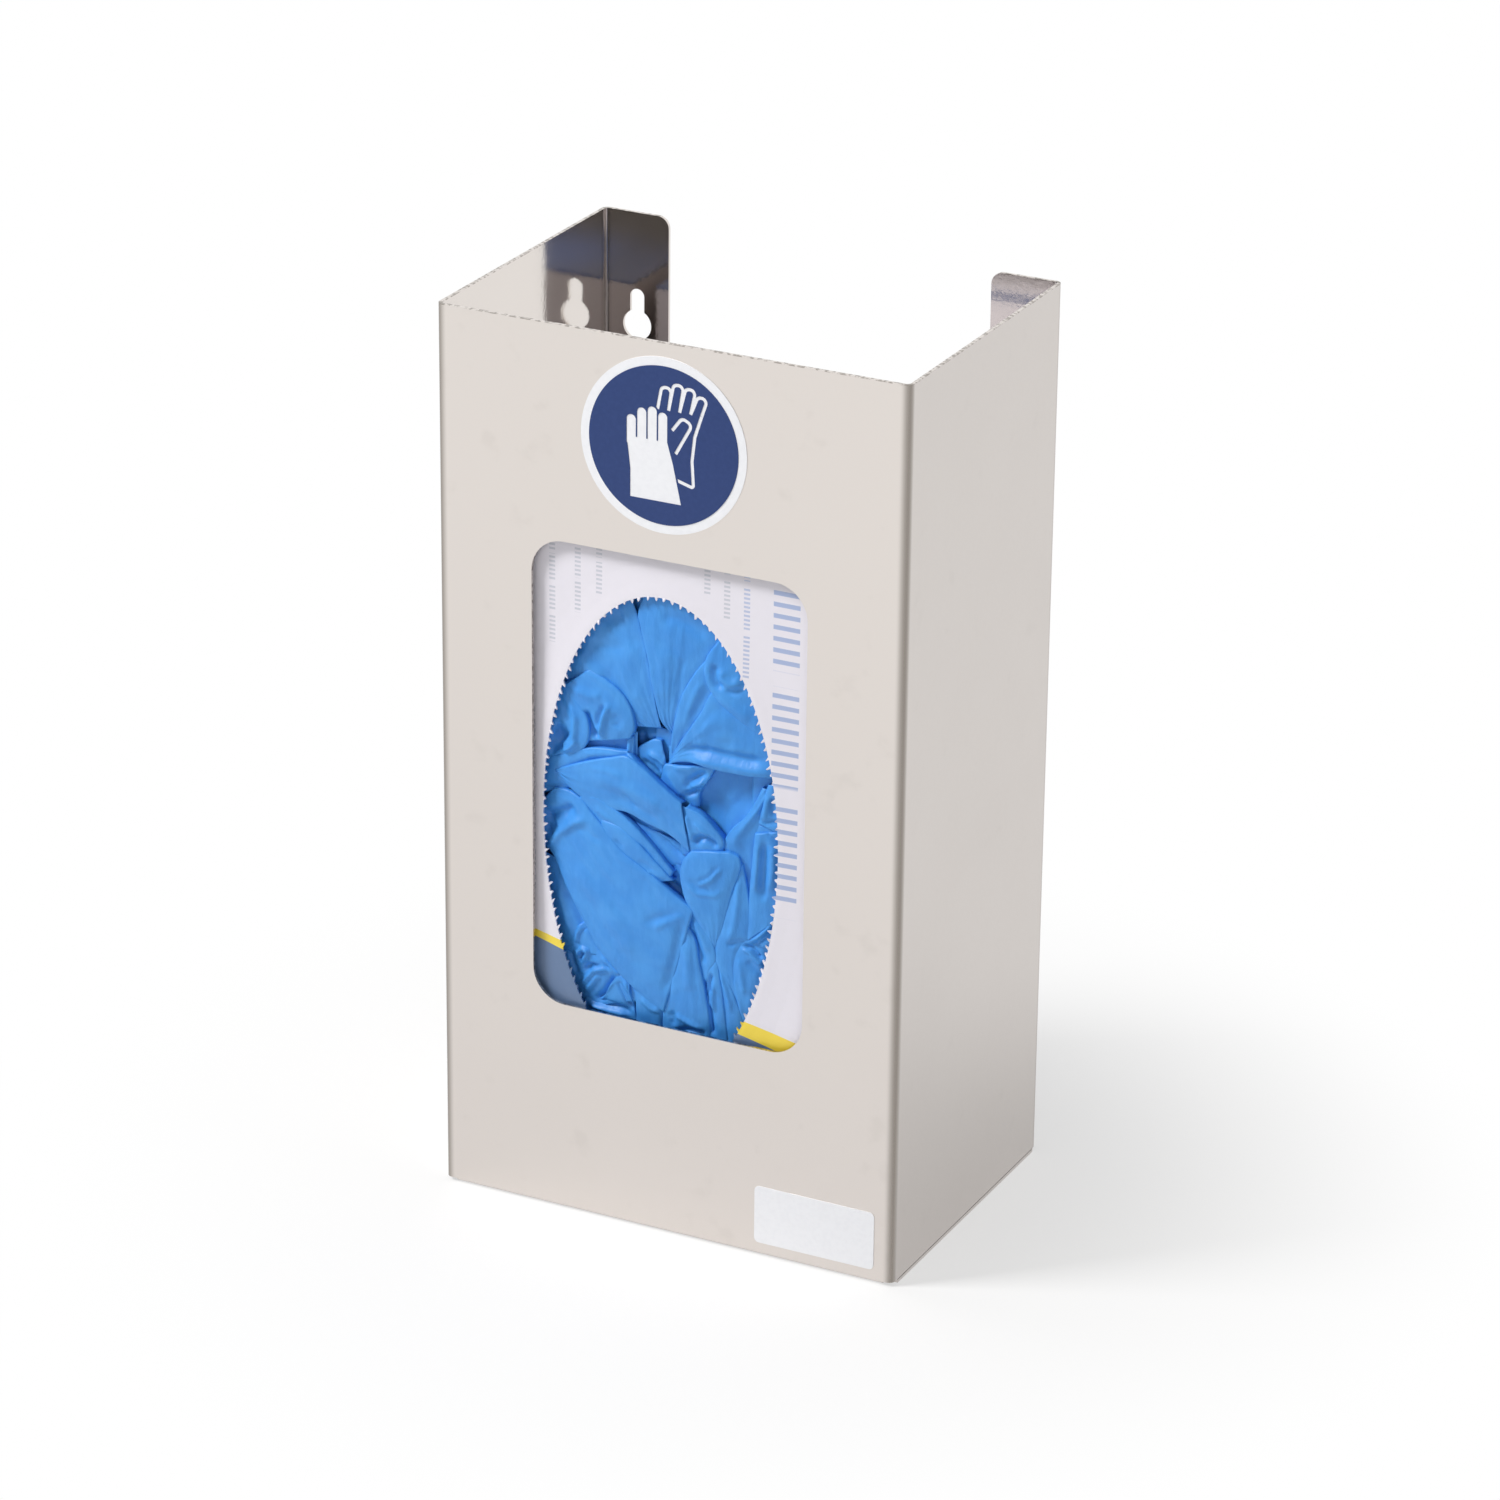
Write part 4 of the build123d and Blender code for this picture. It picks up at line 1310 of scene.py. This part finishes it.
               (-0.5, 0.7, "B 1260 890, 1330 930, 1380 990"))),
    ),
}


@dataclass
class Gloves:
    """The crumpled gloves that show in the opening, and the pack behind them."""

    front: float = GLOVES_FRONT
    centre_x: float = CARTON_MIDDLE
    centre_z: float = OPENING_MIDDLE
    half_width: float = Carton.opening_half_width
    upper: float = Carton.opening_upper
    lower: float = Carton.opening_lower
    bulge: float = Reader.bulge
    crease_gain: float = 1.3
    spacing: float = 0.6
    film: float = 0.2
    roll: float = 0.65
    roll_steps: int = 5
    skirt: float = 2.4
    skirt_steps: tuple = (0.35, 1.0)
    skirt_inset: float = 0.35
    deepest: float = 9.7
    under_card: float = -0.3
    rim_start: float = 0.93
    rim_width: float = 0.07
    wrinkle: float = 0.20
    wrinkle_across: float = 3.2
    wrinkle_along: float = 11.0
    wrinkle_small: float = 2.4
    small_share: float = 0.35
    crown_power: float = 0.6
    crease_fade: float = 0.22
    row_limits: tuple = (8, 200)
    column_limits: tuple = (6, 160)
    pack_cuts: int = 30
    pack_ripple: float = 0.6
    pack_pitch: float = 2.3
    pack_sway: float = 3.0
    pack_blotch: float = 15.0
    pack_inset: float = 0.5
    pack_gain: float = 0.8
    finish: NitrileFilm = NitrileFilm()
    reader: Reader = Reader()

    def build(self) -> None:
        """Build every glove and the pack."""
        material = self.finish.material()
        for number, (name, sheets) in enumerate(GLOVE_SHEETS.items()):
            mesh = bmesh.new()
            for place, sheet in enumerate(sheets):
                self._add_sheet(mesh, sheet, 10.0 * number + place)
            thicken(finish_piece(name + "_film", mesh, material, (name,)), self.film)
        self._build_pack(material)

    def _build_pack(self, material: bpy.types.Material) -> None:
        """Build the folded gloves behind: one soft block with a rippled front.

        Args:
            material: The film.
        """
        mesh = bmesh.new()
        bmesh.ops.create_cube(mesh, size=1.0)
        bmesh.ops.subdivide_edges(mesh, edges=mesh.edges, cuts=self.pack_cuts,
                                  use_grid_fill=True)
        low, high = (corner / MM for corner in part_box("glove_pack"))
        middle, size = (low + high) / 2, high - low
        for vertex in mesh.verts:
            place = Vector(part * side for part, side in zip(vertex.co, size)) + middle
            sway = self.pack_sway * noise.noise(place / self.pack_blotch)
            ripple = self.pack_ripple + self.pack_ripple * math.sin(
                place.z / self.pack_pitch + sway)
            inward = Vector(-part * 2 for part in vertex.co)
            vertex.co = place + inward * (ripple + self.pack_inset) * self.pack_gain
        finish_piece("glove_pack_film", mesh, material, ("glove_pack",))

    def _add_sheet(self, mesh: bmesh.types.BMesh, sheet: Sheet, seed: float) -> None:
        """Add one sheet.

        Args:
            mesh: The glove's mesh, in millimetres.
            sheet: The sheet.
            seed: A number that sets its small wrinkles apart from those of other sheets.
        """
        places = self._rolled(self._shape(sheet, seed), sheet)
        rows, columns = places.shape[:2]
        made = bmesh.ops.create_grid(mesh, x_segments=columns - 1, y_segments=rows - 1, size=1.0)
        for vertex in made["verts"]:
            column = round((vertex.co.x + 1) / 2 * (columns - 1))
            row = round((vertex.co.y + 1) / 2 * (rows - 1))
            x, z, depth = places[row, column]
            vertex.co = (x, self.front + depth, z)
        faces = list({face for vertex in made["verts"] for face in vertex.link_faces})
        for face in faces:
            face.normal_update()
        if sum(face.normal.y * face.calc_area() for face in faces) > 0:
            bmesh.ops.reverse_faces(mesh, faces=faces)

    def _shape(self, sheet: Sheet, seed: float) -> np.ndarray:
        """Places of a sheet's grid, before its edges roll.

        Args:
            sheet: The sheet.
            seed: A number for its small wrinkles.

        Returns:
            Rows along the rails, columns across them, and (x, z, depth).
        """
        first, second = self.reader.line(sheet.first), self.reader.line(sheet.second)
        length = max(self._length(first), self._length(second))
        rows = int(np.clip(length / self.spacing, *self.row_limits))
        shares = np.linspace(0, 1, rows)
        left, right = self._smooth(first, shares), self._smooth(second, shares)
        width = float(np.linalg.norm(right - left, axis=1).max())
        columns = int(np.clip(width / self.spacing, *self.column_limits))
        across = np.linspace(0, 1, columns)[None, :, None]
        places = left[:, None] * (1 - across) + right[:, None] * across
        spread = np.linalg.norm(right - left, axis=1)[:, None] / width
        arch = (4 * across * (1 - across))[..., 0] ** self.crown_power
        places[..., 2] -= sheet.crown * arch * spread
        for height, crease_width, line in sheet.creases:
            shape = self._crease(places[..., :2], self.reader.line(line), crease_width)
            places[..., 2] -= self.crease_gain * height * shape
        for row, column in np.ndindex(rows, columns):
            x, z, _ = places[row, column]
            run = Vector((across[0, column, 0] * width / self.wrinkle_across,
                          shares[row] * length / self.wrinkle_along, seed))
            small = Vector((x / self.wrinkle_small, z / self.wrinkle_small, seed))
            places[row, column, 2] -= self.wrinkle * (
                noise.noise(run) + self.small_share * noise.noise(small))
        return self._bulged(places)

    def _bulged(self, places: np.ndarray) -> np.ndarray:
        """Bulge a grid out of the opening, and keep it behind the card round the opening.

        Args:
            places: The grid.

        Returns:
            The grid with new depths.
        """
        rise = places[..., 1] - self.centre_z
        radius = ((places[..., 0] - self.centre_x) / self.half_width) ** 2 \
            + (rise / np.where(rise > 0, self.upper, self.lower)) ** 2
        depth = places[..., 2] - self.bulge * np.clip(1 - radius, 0, 1)
        rim = np.clip((radius - self.rim_start) / self.rim_width, 0, 1)
        held = depth * (1 - rim) + self.under_card * rim
        places[..., 2] = np.where(depth < self.under_card, held, depth)
        return places

    def _rolled(self, places: np.ndarray, sheet: Sheet) -> np.ndarray:
        """Roll back the edges that a sheet names.

        Args:
            places: The sheet's grid.
            sheet: The sheet.

        Returns:
            The grid with its rolled edges.
        """
        for near, far in ((Edge.FIRST, Edge.SECOND), (Edge.START, Edge.END)):
            for edge in (near, far):
                if sheet.rolls(edge):
                    places = self._roll_edge(places, edge is far)
            places = places.transpose(1, 0, 2)
        places[..., 2] = np.minimum(places[..., 2], self.deepest)
        return places

    def _roll_edge(self, places: np.ndarray, at_end: bool) -> np.ndarray:
        """Roll one edge of a grid back.

        Args:
            places: The grid.
            at_end: True for the last column and False for the first.

        Returns:
            The grid with the roll's columns.
        """
        edge, inner = (places[:, -1], places[:, -3]) if at_end else (places[:, 0], places[:, 2])
        out = edge[:, :2] - inner[:, :2]
        out /= np.maximum(np.linalg.norm(out, axis=1), 1e-6)[:, None]
        columns = []
        for step in range(1, self.roll_steps + 1):
            turn = step / self.roll_steps * math.pi / 2
            flat = edge[:, :2] + out * self.roll * math.sin(turn)
            columns.append(np.c_[flat, edge[:, 2] + self.roll * (1 - math.cos(turn))])
        for share in self.skirt_steps:
            flat = edge[:, :2] + out * (self.roll - self.skirt_inset * share)
            columns.append(np.c_[flat, edge[:, 2] + self.roll + self.skirt * share])
        added = np.stack(columns, 1)
        return np.concatenate((places, added), 1) if at_end \
            else np.concatenate((added[:, ::-1], places), 1)

    @staticmethod
    def _length(line: np.ndarray) -> float:
        """The length of a rail."""
        return float(np.linalg.norm(np.diff(line, axis=0), axis=1).sum())

    @staticmethod
    def _smooth(line: np.ndarray, shares: np.ndarray) -> np.ndarray:
        """Places on a smooth line.

        Args:
            line: The places that it passes through.
            shares: Shares of its length.

        Returns:
            One place for each share.
        """
        steps = np.linalg.norm(np.diff(line, axis=0), axis=1)
        knots = np.concatenate(([0.0], np.cumsum(steps))) / steps.sum()
        slopes = np.gradient(line, knots, axis=0)
        index = np.clip(np.searchsorted(knots, shares, side="right") - 1, 0, len(knots) - 2)
        span = (knots[index + 1] - knots[index])[:, None]
        part = (shares - knots[index])[:, None] / span
        square, cube = part ** 2, part ** 3
        return ((2 * cube - 3 * square + 1) * line[index]
                + (cube - 2 * square + part) * span * slopes[index]
                + (3 * square - 2 * cube) * line[index + 1]
                + (cube - square) * span * slopes[index + 1])

    def _crease(self, places: np.ndarray, line: np.ndarray, width: float) -> np.ndarray:
        """The height of a crease that is 1 high.

        Args:
            places: Places (x, z) of a grid.
            line: The crease's places.
            width: The distance at which it has fallen to a third.

        Returns:
            A height for each place.
        """
        nearest = np.full(places.shape[:2], np.inf)
        along = np.zeros(places.shape[:2])
        steps = np.linalg.norm(np.diff(line, axis=0), axis=1)
        start = 0.0
        for corner, step, size in zip(line, np.diff(line, axis=0), steps):
            share = np.clip(((places - corner) @ step) / size ** 2, 0, 1)
            distance = np.linalg.norm(places - corner - share[..., None] * step, axis=2)
            closer = distance < nearest
            nearest = np.where(closer, distance, nearest)
            along = np.where(closer, start + share * size, along)
            start += size
        fade = np.clip(np.minimum(along, start - along) / (self.crease_fade * start), 0, 1)
        return np.exp(-(nearest / width) ** 2) * fade * fade * (3 - 2 * fade)


# Studio

@dataclass(frozen=True)
class Lamp:
    """A soft square lamp that points at the middle of the object, in metres."""

    name: str
    place: tuple
    size: float
    power: float

    def add(self, target: Vector) -> None:
        """Put the lamp in the scene.

        Args:
            target: The place that it points at.
        """
        light = bpy.data.lights.new(self.name, "AREA")
        light.size = self.size
        light.energy = self.power
        lamp = bpy.data.objects.new(self.name, light)
        lamp.location = self.place
        lamp.rotation_mode = "QUATERNION"
        lamp.rotation_quaternion = (target - lamp.location).to_track_quat("-Z", "Y")
        bpy.context.scene.collection.objects.link(lamp)
        log.info("lamp %s", self.name)


@dataclass
class Studio:
    """Camera, floor, world and lamps."""

    camera_place: tuple = (0.68916, -1.37955, 0.78335)
    azimuth: float = 26.512
    elevation: float = 22.965
    roll: float = 0.593
    lens: float = 143.25
    sensor: float = 36.0
    sky: float = 0.30
    floor_colour: tuple = (0.90, 0.90, 0.90)
    floor_half: float = 3.0
    shadow_reach: tuple = (60.0, 230.0)
    shadow_share: float = 0.45
    lamps: tuple = (
        Lamp("key", (-0.95, -0.72, 1.30), 0.45, 25.5),
        Lamp("fill", (1.2, -1.3, 0.7), 1.2, 2.5),
    )

    def build(self) -> None:
        """Set the studio up."""
        self._add_camera()
        self._add_floor()
        self._light_world()
        middle = (CAD_BOX[0] + CAD_BOX[1]) / 2
        for lamp in self.lamps:
            lamp.add(middle)
        bpy.context.scene.view_settings.view_transform = "Standard"

    def _add_camera(self) -> None:
        """Put the camera at the viewpoint of the product picture."""
        data = bpy.data.cameras.new("camera")
        data.lens, data.sensor_width = self.lens, self.sensor
        camera = bpy.data.objects.new("camera", data)
        turn, lift = math.radians(self.azimuth), math.radians(self.elevation)
        ahead = Vector((-math.sin(turn) * math.cos(lift), math.cos(turn) * math.cos(lift),
                        -math.sin(lift)))
        camera.location = self.camera_place
        camera.rotation_mode = "QUATERNION"
        camera.rotation_quaternion = ahead.to_track_quat("-Z", "Y") \
            @ Quaternion((0, 0, 1), math.radians(self.roll))
        bpy.context.scene.collection.objects.link(camera)
        bpy.context.scene.camera = camera

    def _add_floor(self) -> None:
        """Lay a pale floor that fades to white away from the object."""
        mesh = bmesh.new()
        bmesh.ops.create_grid(mesh, x_segments=1, y_segments=1, size=self.floor_half)
        data = bpy.data.meshes.new("floor")
        mesh.to_mesh(data)
        mesh.free()
        shader = Shader("floor")
        x, y, _ = shader.millimetres()
        away = (x * x + y * y).root().ramp(*self.shadow_reach)
        away = away * self.shadow_share + (1 - self.shadow_share)
        matt = shader.node("ShaderNodeBsdfDiffuse", None, {"Color": self.floor_colour})
        glow = shader.node("ShaderNodeEmission", None, {"Color": WHITE, "Strength": 1.0})
        shader.mixed(away * shader.seen(), matt, glow, "ShaderNodeOutputMaterial")
        data.materials.append(shader.material)
        floor = bpy.data.objects.new("floor", data)
        bpy.context.scene.collection.objects.link(floor)

    def _light_world(self) -> None:
        """A plain soft sky that the camera and the gloss see as white."""
        world = bpy.data.worlds.new("sky")
        bpy.context.scene.world = world
        world.use_nodes = True
        nodes = Nodes(world.node_tree)
        lit, shown = (
            nodes.node("ShaderNodeBackground", None, {"Color": WHITE, "Strength": strength})
            for strength in (self.sky, 1.0))
        nodes.mixed(nodes.seen(), lit, shown, "ShaderNodeOutputWorld")


def main() -> None:
    """Build the studio and dress the object, piece by piece."""
    logging.basicConfig(level=logging.INFO, format="%(message)s")
    Studio().build()
    Holder().dress()
    Carton().build()
    Gloves().build()


if __name__ == "__main__":
    main()
